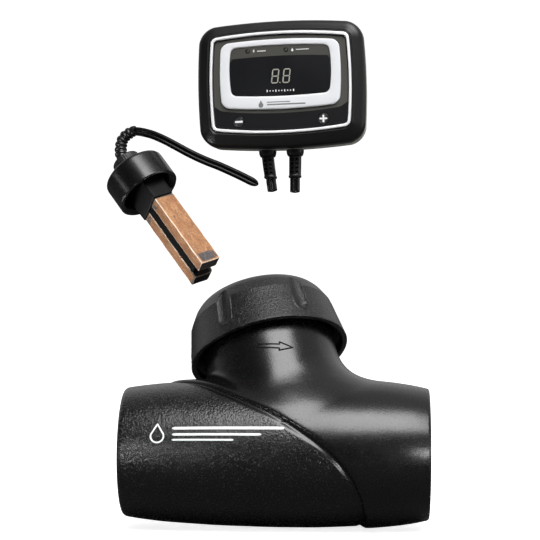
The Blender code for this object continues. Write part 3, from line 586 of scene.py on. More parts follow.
CHAMBER_BLACK = chamber_material()
CAP_BLACK = plastic("cap_grained_black", srgb(9, 10, 10), rough=0.34, grain=700.0, depth=0.42,
                    wormy=0.8, spec=0.45, edge_glint=0.25, fine=0.04, grain_glints=0.45)
SEAT_BLACK = plastic("seat_satin_black", srgb(30, 31, 31), rough=0.42, grain=1800.0, depth=0.02)
COLLAR_BLACK = plastic("probe_satin_black", srgb(9, 10, 10), rough=0.27, grain=1700.0,
                       depth=0.014, edge_glint=0.75)
BOSS_BLACK = plastic("boss_grained_black", srgb(18, 19, 19), rough=0.46, grain=900.0,
                     depth=0.14, wormy=0.5)
HOLDER_BLACK = plastic("holder_black", srgb(11, 12, 12), rough=0.5, grain=1400.0, depth=0.03,
                       spec=0.14)
SPACER_BLACK = plastic("spacer_black", srgb(5, 5, 6), rough=0.6, grain=1200.0, depth=0.05,
                       spec=0.08)
BOOT_RUBBER = plastic("boot_rubber_black", srgb(14, 14, 15), rough=0.34, grain=1200.0,
                      depth=0.04)
LEAD_BLACK = plastic("lead_jacket_black", srgb(8, 8, 9), rough=0.30, grain=1500.0, depth=0.012,
                     spec=0.14)
STUB_BLACK = plastic("stub_jacket_black", srgb(10, 10, 11), rough=0.17, grain=1500.0,
                     depth=0.006, spec=0.95)
BEZEL_BLACK = plastic("bezel_black", srgb(12, 12, 12), rough=0.36, grain=1900.0, depth=0.022)
SHELL_GREY = plastic("shell_grey", srgb(222, 221, 211), rough=0.5, grain=1300.0, depth=0.05,
                     mottle=0.06)
SEAL_RUBBER = plastic("seal_rubber_black", srgb(24, 24, 24), rough=0.72, grain=2200.0,
                      depth=0.03, spec=0.3)
BUTTON_BLACK = plastic("button_black", srgb(22, 23, 26), rough=0.5, grain=2400.0, depth=0.012,
                       edge_glint=0.35)
SWITCH_BLACK = plastic("switch_black", srgb(44, 44, 44), rough=0.5, grain=1500.0, depth=0.02)
CHIP_EPOXY = plastic("chip_epoxy", srgb(28, 28, 30), rough=0.62, grain=1600.0, depth=0.03)
TERMINAL_GREEN = plastic("terminal_green", srgb(36, 140, 74), rough=0.45, grain=1500.0,
                         depth=0.02, mottle=0.1)
DISPLAY_BLACK = plastic("display_black", srgb(22, 22, 24), rough=0.5, grain=2200.0, depth=0.02)
LED_EPOXY = plastic("led_epoxy", srgb(64, 64, 60), rough=0.25, grain=2600.0, depth=0.004,
                    mottle=0.1)
COPPER = copper_material()
BRASS = metal("brass_stud", srgb(205, 168, 96), rough=0.32, brush=(1, 1, 30))
SILVER = metal("silver_trim", srgb(227, 228, 231), rough=0.48, brush=(1, 1, 1), depth=0.003,
               metallic=0.05, spot=0.012)
TRIM_WHITE = metal("trim_white", srgb(250, 250, 251), rough=0.42, brush=(1, 1, 1), depth=0.003,
                   metallic=0.25, spot=0.01)
STEEL = metal("screw_steel", srgb(190, 190, 192), rough=0.3)
ALUMINIUM = metal("can_aluminium", srgb(196, 198, 202), rough=0.34, brush=(1, 1, 40))
BOARD_GREEN = board_material()
INK_WHITE = ink("ink_white", srgb(244, 245, 245))
INK_WARM = ink("ink_segment", srgb(168, 167, 156))
INK_GREY = ink("ink_grey", srgb(120, 122, 122))
WINDOW_TINT = window_material()
FACE_GREY = film("face_warm_grey", srgb(72, 71, 67))
BAND_BLACK = film("face_band_black", srgb(13, 14, 17), spec=0.22)
STRIP_GREY = film("window_strip_grey", srgb(68, 67, 63))
RIM_BLACK = film("face_rim_black", srgb(20, 20, 21))
LINE_BLACK = film("arrow_line_black", srgb(7, 7, 7), rough=0.75, spec=0.15)


# ================================================================ flow chamber
# (x, radius) of the skin on the recessed panel and on the proud part
PANEL = [(-125, 52.3), (-119, 53.5), (-93, 56.7), (-48, 59.3), (0, 60.4), (36, 60.2),
         (64, 58.8), (80, 57.9), (125, 53.5)]
PROUD = [(-125, 55.2), (-93, 58.6), (-48, 61.0), (0, 62.0), (36, 61.8), (60, 61.0),
         (76, 60.4), (97, 58.5), (115, 55.8), (125, 53.4)]
# (degrees from the branch side, x) of the border between them
BORDER = [(0, -97), (12, -92), (25, -84), (39, -65), (60.5, -39.5), (74.5, -15), (83.7, 2),
          (94.6, 19), (105.7, 36.4), (117.2, 50.3), (132.4, 62.3), (149.4, 69.2),
          (174.8, 72.7), (180, 73)]
PANEL_X, PANEL_R = smooth_table(PANEL, blur=7.0)
PROUD_X, PROUD_R = smooth_table(PROUD, blur=7.0)
BORDER_DEG, BORDER_X = smooth_table(BORDER, blur=4.0, low=-40.0, high=220.0)
# mirror the border so that it closes smoothly at 0 and 180 degrees
BORDER_X = np.where(BORDER_DEG < 0, np.interp(-BORDER_DEG, BORDER_DEG, BORDER_X), BORDER_X)
BORDER_X = np.where(BORDER_DEG > 180, np.interp(360 - BORDER_DEG, BORDER_DEG, BORDER_X),
                    BORDER_X)
BORDER_SLOPE = np.gradient(BORDER_X, BORDER_DEG)
HALF_LENGTH = 125.0
SOCKET_R, SOCKET_START, BORE_R, NECK_BORE = 44.6, 80.0, 40.0, 46.5
NECK_R, NECK_ROOT, NECK_CREST, NECK_TOP, PITCH = 55.9, 51.5, 53.7, 132.5, 6.0


def past_border(P):
    """Signed distance along the skin past the panel's border; positive on the proud side."""
    degrees = np.degrees(np.arctan2(np.abs(P[:, 1]), P[:, 2]))
    radius = np.hypot(P[:, 1], P[:, 2])
    slope = np.interp(degrees, BORDER_DEG, BORDER_SLOPE) / (np.maximum(radius, 30.0) * pi / 180)
    return (P[:, 0] - np.interp(degrees, BORDER_DEG, BORDER_X)) / np.sqrt(1 + slope ** 2)


def chamber_field(P):
    """Approximate signed distance to the chamber, negative in the plastic."""
    x, radius = P[:, 0], np.hypot(P[:, 1], P[:, 2])
    past = past_border(P)
    rise = np.where(past > 0, 1 - np.exp(-np.maximum(past, 0) / 1.5), 0.0)
    skin = np.interp(x, PANEL_X, PANEL_R) * (1 - rise) + np.interp(x, PROUD_X, PROUD_R) * rise
    # a shallow channel along the border, then a fine ridge along the underside
    skin = skin - 1.15 * np.exp(-((past + 0.9) / 2.4) ** 2)
    skin = skin + 0.28 * np.exp(-(np.abs(P[:, 1]) / 0.55) ** 2) * (P[:, 2] < 0)
    barrel = radius - skin
    barrel = np.where(x < 0, smooth_max(barrel, -HALF_LENGTH - x, 4.4),
                      smooth_max(barrel, x - HALF_LENGTH, 2.0))
    # the branch: a flared root, a threaded neck, a wide fillet on its +x side
    Q = (P - BRANCH_ORIGIN) @ BRANCH_TURN
    angle, neck_r, up = np.arctan2(Q[:, 1], Q[:, 0]), np.hypot(Q[:, 0], Q[:, 1]), Q[:, 2]
    outer_r = np.where(up > 95.5, NECK_ROOT + (56.0 - NECK_ROOT) * smoothstep(98.0, 95.5, up),
                       NECK_R + 2.6 * smoothstep(37, 10, up))
    threaded = smoothstep(106.5, 109.0, up) * smoothstep(124.0, 121.5, up)
    outer_r = outer_r + threaded * (NECK_CREST - NECK_ROOT) \
        * smoothstep(1.5, 0.7, thread_distance(up, angle, 108.0, PITCH))
    neck = smooth_max(neck_r - outer_r, up - NECK_TOP, 1.6)
    side = 0.5 + 0.5 * np.cos(angle)
    fillet = (7.0 + 26.0 * side ** 2.4) * (0.2 + 0.8 * smoothstep(-15.0, 40.0, up))
    solid = smooth_min(barrel, np.maximum(neck, 5.0 - up), fillet)
    # bores, their mouths slightly flared
    socket = smooth_max(radius - SOCKET_R - 1.4 * smoothstep(123.0, 125.4, np.abs(x)),
                        SOCKET_START - np.abs(x), 0.8)
    solid = smooth_max(solid, -np.minimum(radius - BORE_R, socket), 0.9)
    neck_bore = smooth_max(neck_r - NECK_BORE - 1.0 * smoothstep(131.3, 132.7, up), 3.0 - up,
                           2.0)
    return smooth_max(solid, -neck_bore, 0.9)


def gradient(field, P, reach=0.05):
    out = np.empty_like(P)
    for k in range(3):
        offset = np.zeros(3)
        offset[k] = reach
        out[:, k] = (field(P + offset) - field(P - offset)) / (2 * reach)
    return out


def surface_nets(field, low, high, cell):
    """Quads round the zero level of a field, with one vertex in each crossed cell."""
    low = np.array(low, float)
    size = np.ceil((np.array(high) - low) / cell).astype(int) + 1
    values = np.empty(size, np.float32)
    y, z = np.meshgrid(low[1] + cell * np.arange(size[1]), low[2] + cell * np.arange(size[2]),
                       indexing='ij')
    for i in range(size[0]):
        x = np.full(y.size, low[0] + cell * i)
        values[i] = field(np.stack([x, y.ravel(), z.ravel()], -1)).reshape(y.shape)
    inside = values < 0
    cells = size - 1
    total = int(np.prod(cells))
    sums, counts = np.zeros((3, total)), np.zeros(total)
    quads = []
    for axis in range(3):
        near, far = [slice(1, -1)] * 3, [slice(1, -1)] * 3
        near[axis], far[axis] = slice(0, -1), slice(1, None)
        near, far = tuple(near), tuple(far)
        crossed = np.argwhere(inside[near] != inside[far])
        pick = tuple(crossed.T)
        start, end = values[near][pick], values[far][pick]
        grid = crossed + 1
        grid[:, axis] -= 1
        point = grid.astype(float)
        point[:, axis] += start / (start - end)
        side_a, side_b = [(1, 2), (2, 0), (0, 1)][axis]
        ring = []
        for step_a, step_b in ((-1, -1), (0, -1), (0, 0), (-1, 0)):
            at = grid.copy()
            at[:, side_a] += step_a
            at[:, side_b] += step_b
            ring.append((at[:, 0] * cells[1] + at[:, 1]) * cells[2] + at[:, 2])
        for index in ring:
            for k in range(3):
                sums[k] += np.bincount(index, point[:, k], total)
            counts += np.bincount(index, minlength=total)
        quad = np.stack(ring, -1)
        quads.append(np.where(inside[near][pick][:, None], quad, quad[:, ::-1]))
    used = np.flatnonzero(counts)
    renumber = np.full(total, -1)
    renumber[used] = np.arange(len(used))
    P = (sums[:, used] / counts[used]).T * cell + low
    return P, renumber[np.concatenate(quads)]


def project(field, P, rounds, limit):
    """Move points down the gradient onto the zero level, at most limit in each round."""
    for _ in range(rounds):
        slope = gradient(field, P)
        step = (field(P) / np.maximum((slope ** 2).sum(1), 0.2))[:, None] * slope
        length = np.linalg.norm(step, axis=1, keepdims=True)
        P = P - step * np.minimum(1, limit / np.maximum(length, 1e-9))
    return P


def panel_mask(P):
    """1 on the recessed panel's skin, clear of its border and of the neck."""
    radius = np.hypot(P[:, 1], P[:, 2])
    Q = (P - BRANCH_ORIGIN) @ BRANCH_TURN
    on_skin = np.abs(radius - np.interp(P[:, 0], PANEL_X, PANEL_R)) < 3.0
    off_neck = (np.hypot(Q[:, 0], Q[:, 1]) > 58) | (Q[:, 2] < 30)
    return (past_border(P) < -5.2) & on_skin & off_neck & (radius > 48)


def chamber_shell(cell, keep):
    """The chamber, meshed at the cell size, then thinned to the keep ratio of its faces."""
    name = "chamber_shell"
    P, faces = surface_nets(chamber_field, (-128, -66, -66), (128, 66, 140), cell)
    P = project(chamber_field, P, rounds=3, limit=cell * 0.7)
    me = new_mesh(name, P * MM, faces)
    if keep < 1:
        work = link(name + "_work", me)
        work.modifiers.new("thin", 'DECIMATE').ratio = keep
        me = evaluated(work)
        bpy.data.objects.remove(work, do_unlink=True)
        P = np.empty(len(me.vertices) * 3, np.float32)
        me.vertices.foreach_get("co", P)
        P = project(chamber_field, P.reshape(-1, 3).astype(float) / MM, rounds=2, limit=0.3)
    normals = unit(gradient(chamber_field, P, 0.12))
    attach(me, "panel", panel_mask(P))
    me.vertices.foreach_set("co", CHAMBER.world(P).astype(np.float32).ravel())
    me.shade_smooth()
    piece(name, me, CHAMBER_BLACK, "chamber_plastic", replaces="chamber_body", sharp=None)
    me.normals_split_custom_set_from_vertices([tuple(v) for v in normals @ CHAMBER.rotation.T])
    me.update()


chamber_shell(cell=1.0, keep=0.34)


# ---------------------------------------------------------------- screw cap
def cap_radius(z):
    """The cap's tapering side."""
    return 67.2 - 0.19 * (z - 91.0)


# (radius, z): over the crown, down the side and under the foot; then up the inside
CAP_OUT = [(30.0, 144.9), (38.0, 144.5), (46.0, 143.2), (51.2, 140.6), (54.9, 136.5),
           (56.4, 134.2), (60.8, 125.4), (cap_radius(118.0), 118.0),
           (cap_radius(106.0), 106.0), (cap_radius(93.5), 93.5), (67.1, 91.6), (66.4, 91.0),
           (63.2, 91.0), (62.5, 91.7)]
CAP_IN = [(62.5, 98.5), (54.6, 103.5), (54.6, 131.5), (51.8, 136.2), (31.0, 136.2),
          (30.0, 137.2)]
SCALLOPS, SCALLOP_R, SCALLOP_DEPTH = 6, 9.0, 3.1
SCALLOP_FOOT, SCALLOP_LEAN = 107.0, radians(10.7)


def cap_push(angle, r, z):
    """Finger scallops outside, each with a raised lip, and the thread inside."""
    outside = (z > 91.5) & (r > 55.5) | (z > 125)
    aside = np.radians((np.degrees(angle) + 30) % 60 - 30)
    y = r * np.sin(aside)
    # the cutter leans inwards with height and has a round nose at its foot
    below = np.maximum(SCALLOP_FOOT - z, 0)
    axis = cap_radius(104.0) + SCALLOP_R - SCALLOP_DEPTH \
        - np.maximum(z - SCALLOP_FOOT, 0) * np.tan(SCALLOP_LEAN)
    room = SCALLOP_R ** 2 - y ** 2 - below ** 2
    limit = np.where(room > 0, (axis - np.sqrt(np.maximum(room, 0))) / np.cos(aside), 999.0)
    cut = smooth_min(r, limit, 0.45)
    lip = 0.5 * np.exp(-((limit - r - 0.45) / 0.45) ** 2) * smoothstep(140, 134, z)
    moved = np.where(outside & (z < 143.4) & (z > 92.5), cut + lip, r)
    inside = (r < 56.0) & (z > 104.0) & (z < 131.0) & (r > 54.0)
    threaded = smoothstep(109.5, 111.5, z) * smoothstep(121.0, 119.0, z)
    thread = 2.0 * threaded * smoothstep(1.5, 0.7, thread_distance(z, angle, 111.0, PITCH))
    return np.where(inside, moved - thread, moved), z


crown = smooth_line(CAP_OUT[:6], 0.8)
cap_top = rounded(crown + CAP_OUT[6:10], [0.0] * len(crown) + [1.3, 0.0, 0.0, 0.0], arc=5)
cap_profile = (dense(cap_top, 0.9) + rounded(CAP_OUT[9:] + CAP_IN[:1], 0.6, arc=3)[1:]
               + dense(rounded(CAP_IN, 0.8, arc=3), 1.2)[1:])
cap_angles = []          # degrees, closer together across the scallops
for k in range(SCALLOPS):
    middle = k * 360.0 / SCALLOPS
    cap_angles += list(np.linspace(middle - 10, middle + 10, 65)[:-1])
    cap_angles += list(np.linspace(middle + 10, middle + 50, 27)[:-1])
turned("screw_cap", cap_profile, BRANCH, CAP_BLACK, "cap_plastic", closed=True, push=cap_push,
       angles=np.radians(np.array(cap_angles)), body="union_cap", replaces="cap_nut", sharp=50)


# ---------------------------------------------------------------- seat insert
def thread_push(bottom, top, pitch, height, r_low, r_high):
    """A push that raises a thread on the skin between two radii."""
    def push(angle, r, z):
        on = smoothstep(bottom, bottom + 1.2, z) * smoothstep(top, top - 1.2, z)
        ridge = smoothstep(0.40 * pitch, 0.16 * pitch, thread_distance(z, angle, 0.0, pitch))
        return r + np.where((r > r_low) & (r < r_high), height * on * ridge, 0), z
    return push


FINE_PITCH = 3.2
# (radius, z)
SEAT = [(18.5, 157.0), (20.9, 157.0), (20.9, 135.9), (50.8, 135.9), (50.8, 132.8),
        (46.2, 132.8), (46.2, 126.7), (42.8, 126.7), (42.8, 123.1), (46.2, 123.1),
        (46.2, 116.5), (39.6, 116.5), (39.6, 130.0), (24.0, 130.0), (22.5, 116.5),
        (18.5, 116.5)]
turned("seat_insert_body", dense(rounded(SEAT, 0.5, arc=3, closed=True), 0.45, closed=True),
       BRANCH, SEAT_BLACK, "seat_plastic", steps=144, closed=True,
       push=thread_push(138.5, 155.6, FINE_PITCH, 0.75, r_low=20.7, r_high=21.1),
       body="seat_insert", replaces="probe_seat", sharp=45)
oring = [(44.6 + 1.45 * cos(a), 124.9 - 1.45 * sin(a)) for a in full_turn(16)]
turned("seat_oring", oring, BRANCH, SEAL_RUBBER, "seal_rubber", steps=128, closed=True,
       body="seat_insert", replaces="seat_seal", sharp=80)

# ================================================================ electrode probe
# (radius, z, corner rounding)
COLLAR = [(12.3, -25.4, 0.3), (12.3, -22.0, 0.4), (22.2, -22.0, 0.6), (22.2, -2.6, 0.4),
          (23.3, -1.7, 0.3), (23.9, -1.5, 0.2), (24.3, -0.35, 0.4), (25.7, 0.0, 0.3),
          (26.15, -0.5, 0.2), (26.6, -1.0, 0.4), (26.6, -25.4, 3.0)]
collar = rounded([p[:2] for p in COLLAR], [p[2] for p in COLLAR], arc=5, closed=True)
turned("probe_collar", dense(collar, 0.45, closed=True), PROBE, COLLAR_BLACK, "probe_plastic",
       steps=160, closed=True,
       push=thread_push(-18.5, -2.8, FINE_PITCH, -0.55, r_low=22.0, r_high=22.6),
       body="probe_nut_body", replaces="probe_nut", sharp=45)
BOSS_END = -38.6
GRIP_RIBS = 36


def boss_push(angle, r, z):
    """Fine lengthwise grip ribs on the boss."""
    on = smoothstep(-23.2, -24.2, z) * smoothstep(-37.6, -36.4, z)
    return r + np.where(r > 11.0, on * 0.10 * (np.cos(angle * GRIP_RIBS) - 1), 0), z


core = rounded([(0.0, -18.3), (21.4, -18.3), (21.4, -21.7), (12.0, -21.7), (12.0, BOSS_END),
                (0.0, BOSS_END)], [0, 0.6, 0.5, 0.3, 1.6, 0], arc=5)
turned("probe_core_body", dense(core, 0.7), PROBE, BOSS_BLACK, "probe_plastic", steps=216,
       push=boss_push, replaces="probe_core", sharp=45)
gasket = rounded([(21.6, -15.6), (21.6, -18.0), (18.6, -18.0), (18.6, -15.6)], 0.6, closed=True)
turned("probe_gasket", gasket, PROBE, SEAL_RUBBER, "seal_rubber", steps=96, closed=True,
       body="probe_nut_body", replaces="probe_seal", sharp=60)


def soft_box(size, radius, step, arc=4):
    """A rounded box about the origin, cut into a grid of about step: vertices and faces."""
    half = [s / 2 for s in size]
    bm = bmesh.new()
    bmesh.ops.create_cube(bm, size=2.0)
    bmesh.ops.scale(bm, vec=half, verts=bm.verts[:])
    bmesh.ops.bevel(bm, geom=bm.edges[:] + bm.verts[:], offset=radius, segments=arc,
                    profile=0.5, affect='EDGES')
    for axis in range(3):
        n = max(1, int(2 * half[axis] / step))
        for k in range(1, n):
            point, normal = [0, 0, 0], [0, 0, 0]
            point[axis] = -half[axis] + 2 * half[axis] * k / n
            normal[axis] = 1
            if abs(point[axis]) < half[axis] - radius * 1.05:
                bmesh.ops.bisect_plane(bm, geom=bm.verts[:] + bm.edges[:] + bm.faces[:],
                                       plane_co=point, plane_no=normal, dist=1e-5)
    bmesh.ops.recalc_face_normals(bm, faces=bm.faces[:])
    verts = np.array([v.co for v in bm.verts], float)
    faces = [[v.index for v in f.verts] for f in bm.faces]
    bm.free()
    return verts, faces


# ---------------------------------------------------------------- electrode bars
BAR_WIDTH, BAR_THICK, BAR_LENGTH = 18.5, 9.85, 71.8
BAR_ROOT, BAR_X, BAR_Y = 14.6, 0.45, 8.875      # near end along z, centre across


def bar_tarnish(x, y, z, side):
    """0 bare, about 1 blue-grey, above 1.15 black; side is the sign of the bar's y."""
    tip, root = BAR_LENGTH / 2 - z, BAR_LENGTH / 2 + z
    outer_face = y * side > BAR_THICK / 2 - 0.8
    inner_face = y * side < -BAR_THICK / 2 + 0.8
    narrow_side = np.abs(x) > BAR_WIDTH / 2 - 0.7
    stains = [
        # a patch near the tip of the outer face, and the end face
        smoothstep(1.2, 2.0, tip) * smoothstep(10.5, 8.6, tip)
        * smoothstep(BAR_WIDTH / 2 - 1.0, BAR_WIDTH / 2 - 2.6, np.abs(x - 0.6)) * outer_face,
        smoothstep(0.5, 0.1, tip) * 1.1,
        # the narrow sides near both ends, a black ring at the root, the inner face
        0.75 * narrow_side * smoothstep(64.0, 66.5, tip) * smoothstep(70.4, 69.0, tip),
        0.55 * narrow_side * smoothstep(4.0, 1.5, tip),
        1.6 * smoothstep(1.5, 0.7, root),
        0.42 * inner_face]
    if side < 0:                                 # the rear bar's tip is black
        stains += [1.6 * smoothstep(0.9, 0.3, tip),
                   1.6 * inner_face * smoothstep(9.0, 7.5, tip),
                   1.3 * (x > BAR_WIDTH / 2 - 1.3) * smoothstep(7.5, 5.5, tip)]
    return np.maximum(np.max(stains, axis=0), 0)


def electrode_bar(key, side, worn_by, phase, texture_shift):
    """worn_by rounds the tip's +x corner; texture_shift keeps the two bars' grain apart."""
    name = "electrode_bar_" + key
    verts, faces = soft_box((BAR_WIDTH, BAR_THICK, BAR_LENGTH), radius=0.5, step=1.3)
    x, y, z = verts.T.copy()
    half = BAR_LENGTH / 2
    worn = np.clip((x - (BAR_WIDTH / 2 - 3.0)) / 3.0, 0, 1) \
        * np.clip((z - (half - 3.0)) / 3.0, 0, 1)
    verts[:, 0] -= worn * worn_by
    verts[:, 2] -= worn * worn_by
    # the faces wander a little
    verts[:, 0] += 0.10 * np.sin(z * 0.33 + 0.3 + phase) * np.sign(x) * (np.abs(x) > 8)
    verts[:, 1] += 0.07 * np.sin(z * 0.41 + x * 0.5 + 1.7 + phase) * np.sign(y) \
        * (np.abs(y) > 4)
    me = new_mesh(name, PROBE.world(verts + (BAR_X, side * BAR_Y, BAR_ROOT + half)), faces)
    attach(me, "bar", np.stack([x + texture_shift, y, z], -1) * MM, 'FLOAT_VECTOR')
    # near an edge, the second smallest distance to the faces is small
    depths = np.stack([BAR_WIDTH / 2 - np.abs(x), BAR_THICK / 2 - np.abs(y),
                       half - np.abs(z)], -1)
    edge = np.sort(depths, 1)[:, 1]
    # the rim attribute places a painted highlight along the edges, weaker where the copper is
    # black
    rim = smoothstep(0.62, 0.30, edge) * (edge < 0.62)
    tarnish = bar_tarnish(x, y, z, side)
    attach(me, "tarnish", tarnish)
    attach(me, "rim", rim * (1 - 0.8 * (tarnish > 0.8)))
    piece(name, me, COPPER, "electrode_copper", replaces="electrode_" + key, sharp=35)


electrode_bar("front", side=1.0, worn_by=0.35, phase=0.0, texture_shift=0)
electrode_bar("rear", side=-1.0, worn_by=1.1, phase=2.1, texture_shift=40)

verts, faces = soft_box((19.4, 30.0, 32.3), radius=0.9, step=3.0)
verts[:, 0] -= 0.35 * smoothstep(6.0, 16.0, verts[:, 2]) * np.sign(verts[:, 0])
piece("electrode_head", new_mesh("electrode_head", PROBE.world(verts + (0, 0, -1.85)), faces),
      HOLDER_BLACK, "probe_plastic", replaces="electrode_holder")
WEB_LENGTH = 67.0
verts, faces = soft_box((17.2, 7.3, WEB_LENGTH), radius=0.6, step=4.0)
web_verts = PROBE.world(verts + (0, 0, BAR_ROOT + WEB_LENGTH / 2))
piece("electrode_web", new_mesh("electrode_web", web_verts, faces),
      SPACER_BLACK, "probe_plastic", replaces="electrode_spacer")


# ---------------------------------------------------------------- swept pieces
def resample(path, step):
    """Even points along a smooth curve through the path, and their distances."""
    p = spline_ends(path)
    fine = [spline_at(p, i, t) for i in range(1, len(p) - 2) for t in np.arange(0, 1, 0.02)]
    fine = np.array(fine + [p[-2]])
    length = np.concatenate([[0], np.cumsum(np.linalg.norm(np.diff(fine, axis=0), axis=1))])
    n = int(ceil(length[-1] / step))
    s = np.linspace(0, length[-1], n + 1)
    return np.stack([np.interp(s, length, fine[:, k]) for k in range(3)], -1), s


def swept(name, path, step, section, place):
    """Sweep section(distance, total), (n, 2) offsets along the width and the thickness."""
    points, distances = resample(path, step)
    thin = np.array((0, 1, 0), float)
    rings = []
    for point, ahead, distance in zip(points, unit(np.gradient(points, axis=0)), distances):
        thin = thin - ahead * (thin @ ahead)
        thin /= np.linalg.norm(thin)
        offset = section(distance, distances[-1])
        rings.append(point + offset[:, :1] * np.cross(ahead, thin) + offset[:, 1:2] * thin)
    m = len(rings[0])
    faces = ring_quads(len(rings), m)
    first, last = len(rings) * m, (len(rings) - 1) * m
    for j in range(m):
        k = (j + 1) % m
        faces.append([k, j, first])
        faces.append([last + j, last + k, first + 1])
    verts = np.concatenate(rings + [points[:1], points[-1:]])
    return new_mesh(name, place.world(verts), faces)


def nose(distance, total, r_in, r_out):
    """Scale that rounds off the two ends of a swept piece."""
    k = 1.0
    if distance < r_in:
        k = sqrt(max(0.0, 1 - (1 - distance / r_in) ** 2))
    if total - distance < r_out:
        k = min(k, sqrt(max(0.0, 1 - (1 - (total - distance) / r_out) ** 2)))
    return max(k, 0.04)


def twin_section(half_width, half_thick, steps=72, waist=0.30, lobe_at=0.47):
    """Two round cores side by side, joined by a thinner waist."""
    angle = full_turn(steps)
    x = np.cos(angle)
    lobe = np.sqrt(np.maximum(1 - ((np.abs(x) - lobe_at) / (1.0 - lobe_at)) ** 2, 0))
    y = np.sign(np.sin(angle)) * np.maximum(lobe, np.where(np.abs(x) < lobe_at, 1 - waist, 0.0))
    return np.stack([x * half_width, y * half_thick], -1)


def lead(key, path, half_width, half_thick, place, mat, start, end, r_in, r_out):
    """A twin cable jacket that passes from the root to the cable body; start and end are not
    used.
    """
    outline = twin_section(half_width, half_thick)

    def section(distance, total):
        return outline * nose(distance, total, r_in, r_out)
    name = key + "_cable_jacket"
    o = piece(name, swept(name, path, 0.7, section, place), mat, "lead_jacket", body=None,
              replaces=key + "_lead", sharp=60, weld=0.003)
    tuple(place.world(start)[0])
    tuple(place.world(end)[0])
    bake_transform(o)


PROBE_PATH = [(-118.2, 18.35, 265.1), (-116.1, 17.8, 265.15), (-114.2, 17.4, 265.0),
              (-111.0, 16.8, 264.5), (-107.0, 15.8, 263.5), (-101.0, 14.0, 261.6),
              (-91.8, 11.2, 257.4), (-82.5, 9.0, 252.4), (-73.4, 7.4, 247.4),
              (-64.2, 6.0, 242.8), (-55.5, 5.0, 239.0), (-46.9, 4.0, 235.6),
              (-37.8, 3.0, 231.5), (-28.7, 2.0, 227.2), (-22.0, 1.0, 223.8),
              (-14.4, 0.0, 220.0)]
lead("probe", PROBE_PATH, half_width=3.6, half_thick=2.1, place=GROUP, mat=LEAD_BLACK,
     start=(-116.5, 17.9, 265.15), end=(-104.0, 15.0, 262.6), r_in=0.8, r_out=7.5)

# ribbed boot from the boss, turning over into the lead
probe_axis = np.array(PROBE_AXIS)
boss_back = np.array(PROBE_ORIGIN) + probe_axis * (BOSS_END - 0.3)
BOOT_PATH = [tuple(boss_back), tuple(boss_back - probe_axis * 3.0), (-128.0, 16.6, 244.2),
             (-128.9, 18.8, 249.7), (-128.5, 19.8, 254.8), (-127.2, 20.0, 258.5),
             (-123.9, 19.7, 262.4), (-118.9, 18.6, 265.0), (-116.8, 18.0, 265.2)]
BOOT_CIRCLE = np.stack([np.cos(full_turn(56)), np.sin(full_turn(56))], -1)
BOOT_RIBS, RIB_PITCH, RIB_HALF, RIB_HEIGHT = 6, 4.1, 1.45, 0.75
COLLAR_LENGTH, COLLAR_R = 2.6, 4.6               # end collar round the lead


def boot_section(distance, total):
    r = float(np.interp(distance, [0, 1.0, 1.3, 3.0, total], [6.4, 6.4, 5.3, 4.55, 4.1]))
    rib = 0.0
    for k in range(BOOT_RIBS):
        at = total - 26.0 + RIB_PITCH * k
        if at > 4.5:
            rib = max(rib, 1.0 - min(1.0, (abs(distance - at) / RIB_HALF)) ** 4)
    r += RIB_HEIGHT * rib
    left = total - distance
    if left < COLLAR_LENGTH:
        swell = sqrt(max(0.0, 1 - (1 - left / COLLAR_LENGTH) ** 6)) + 0.2
        r = max(r, COLLAR_R * min(1.0, swell))
    return BOOT_CIRCLE * (r * (0.9 + 0.1 * nose(distance, total, 0.6, 0.5)))


piece("probe_ribbed_boot", swept("probe_ribbed_boot", BOOT_PATH, 0.28, boot_section, GROUP),
      BOOT_RUBBER, "boot_rubber", replaces="probe_boot", sharp=60, weld=0.003)

# ================================================================ controller
# x is across, z up, -y to the front; half sizes along x and z
BOX_X, BOX_Z = 69.2, 52.6
OPEN_X, OPEN_Z, FACE_CENTRE = 58.6, 42.3, 0.7
RING_X, RING_Z, RING_CENTRE = 49.7, 28.8, 7.4
WINDOW_X, WINDOW_Z, WINDOW_CENTRE = 41.8, 21.1, 10.2
LAMPS_X, LAMPS_Z = (-26.5, 5.0), 26.9
KEY_X, KEY_Z, KEY_R = 34.7, -30.6, 4.3
SCREW_X, SCREW_Z = 57.0, 41.6
BACK, WALL = 20.0, 2.5
OUTLINE_POINTS = 240


def barrel(a, b, corner, centre_z=FACE_CENTRE, bulge_x=2.2, bulge_z=4.0):
    """(x, z) round a rectangle of half sizes a, b whose four sides bow outwards."""
    m = 2880
    angle = 2 * pi * (np.arange(m) + 0.5) / m
    low, high = np.zeros(m), np.full(m, a + b)
    ct, st = np.cos(angle), np.sin(angle)
    for _ in range(34):                          # bisect along each ray
        mid = (low + high) / 2
        x, z = mid * ct, mid * st
        px = np.abs(x) - (a - corner - bulge_x * (z / b) ** 2)
        pz = np.abs(z) - (b - corner - bulge_z * (x / a) ** 2)
        inside = np.hypot(np.maximum(px, 0), np.maximum(pz, 0)) \
            + np.minimum(np.maximum(px, pz), 0) - corner < 0
        low, high = np.where(inside, mid, low), np.where(inside, high, mid)
    p = np.stack([low * ct, low * st], -1)
    ahead = np.roll(p, -1, 0) - p
    # share the points out by length and by turning, so that corners get more
    heading = np.unwrap(np.arctan2(ahead[:, 1], ahead[:, 0]))
    turn = np.abs(np.diff(heading, prepend=heading[-1] - 2 * pi))
    turn = np.convolve(np.concatenate([turn[-12:], turn, turn[:12]]), np.ones(25) / 25, 'valid')
    measure = np.cumsum(np.linalg.norm(ahead, axis=1) / (a + b) + 0.55 * turn)
    measure = np.concatenate([[0], measure])
    want = measure[-1] * np.arange(OUTLINE_POINTS) / OUTLINE_POINTS
    return np.stack([np.interp(want, measure, np.append(p[:, 0], p[0, 0])),
                     np.interp(want, measure, np.append(p[:, 1], p[0, 1])) + centre_z], -1)


def case(inset):
    """The case outline, moved inwards."""
    return barrel(BOX_X - inset, BOX_Z - inset, 13.5 - inset * 0.9, 0.0, 2.6, 4.2)


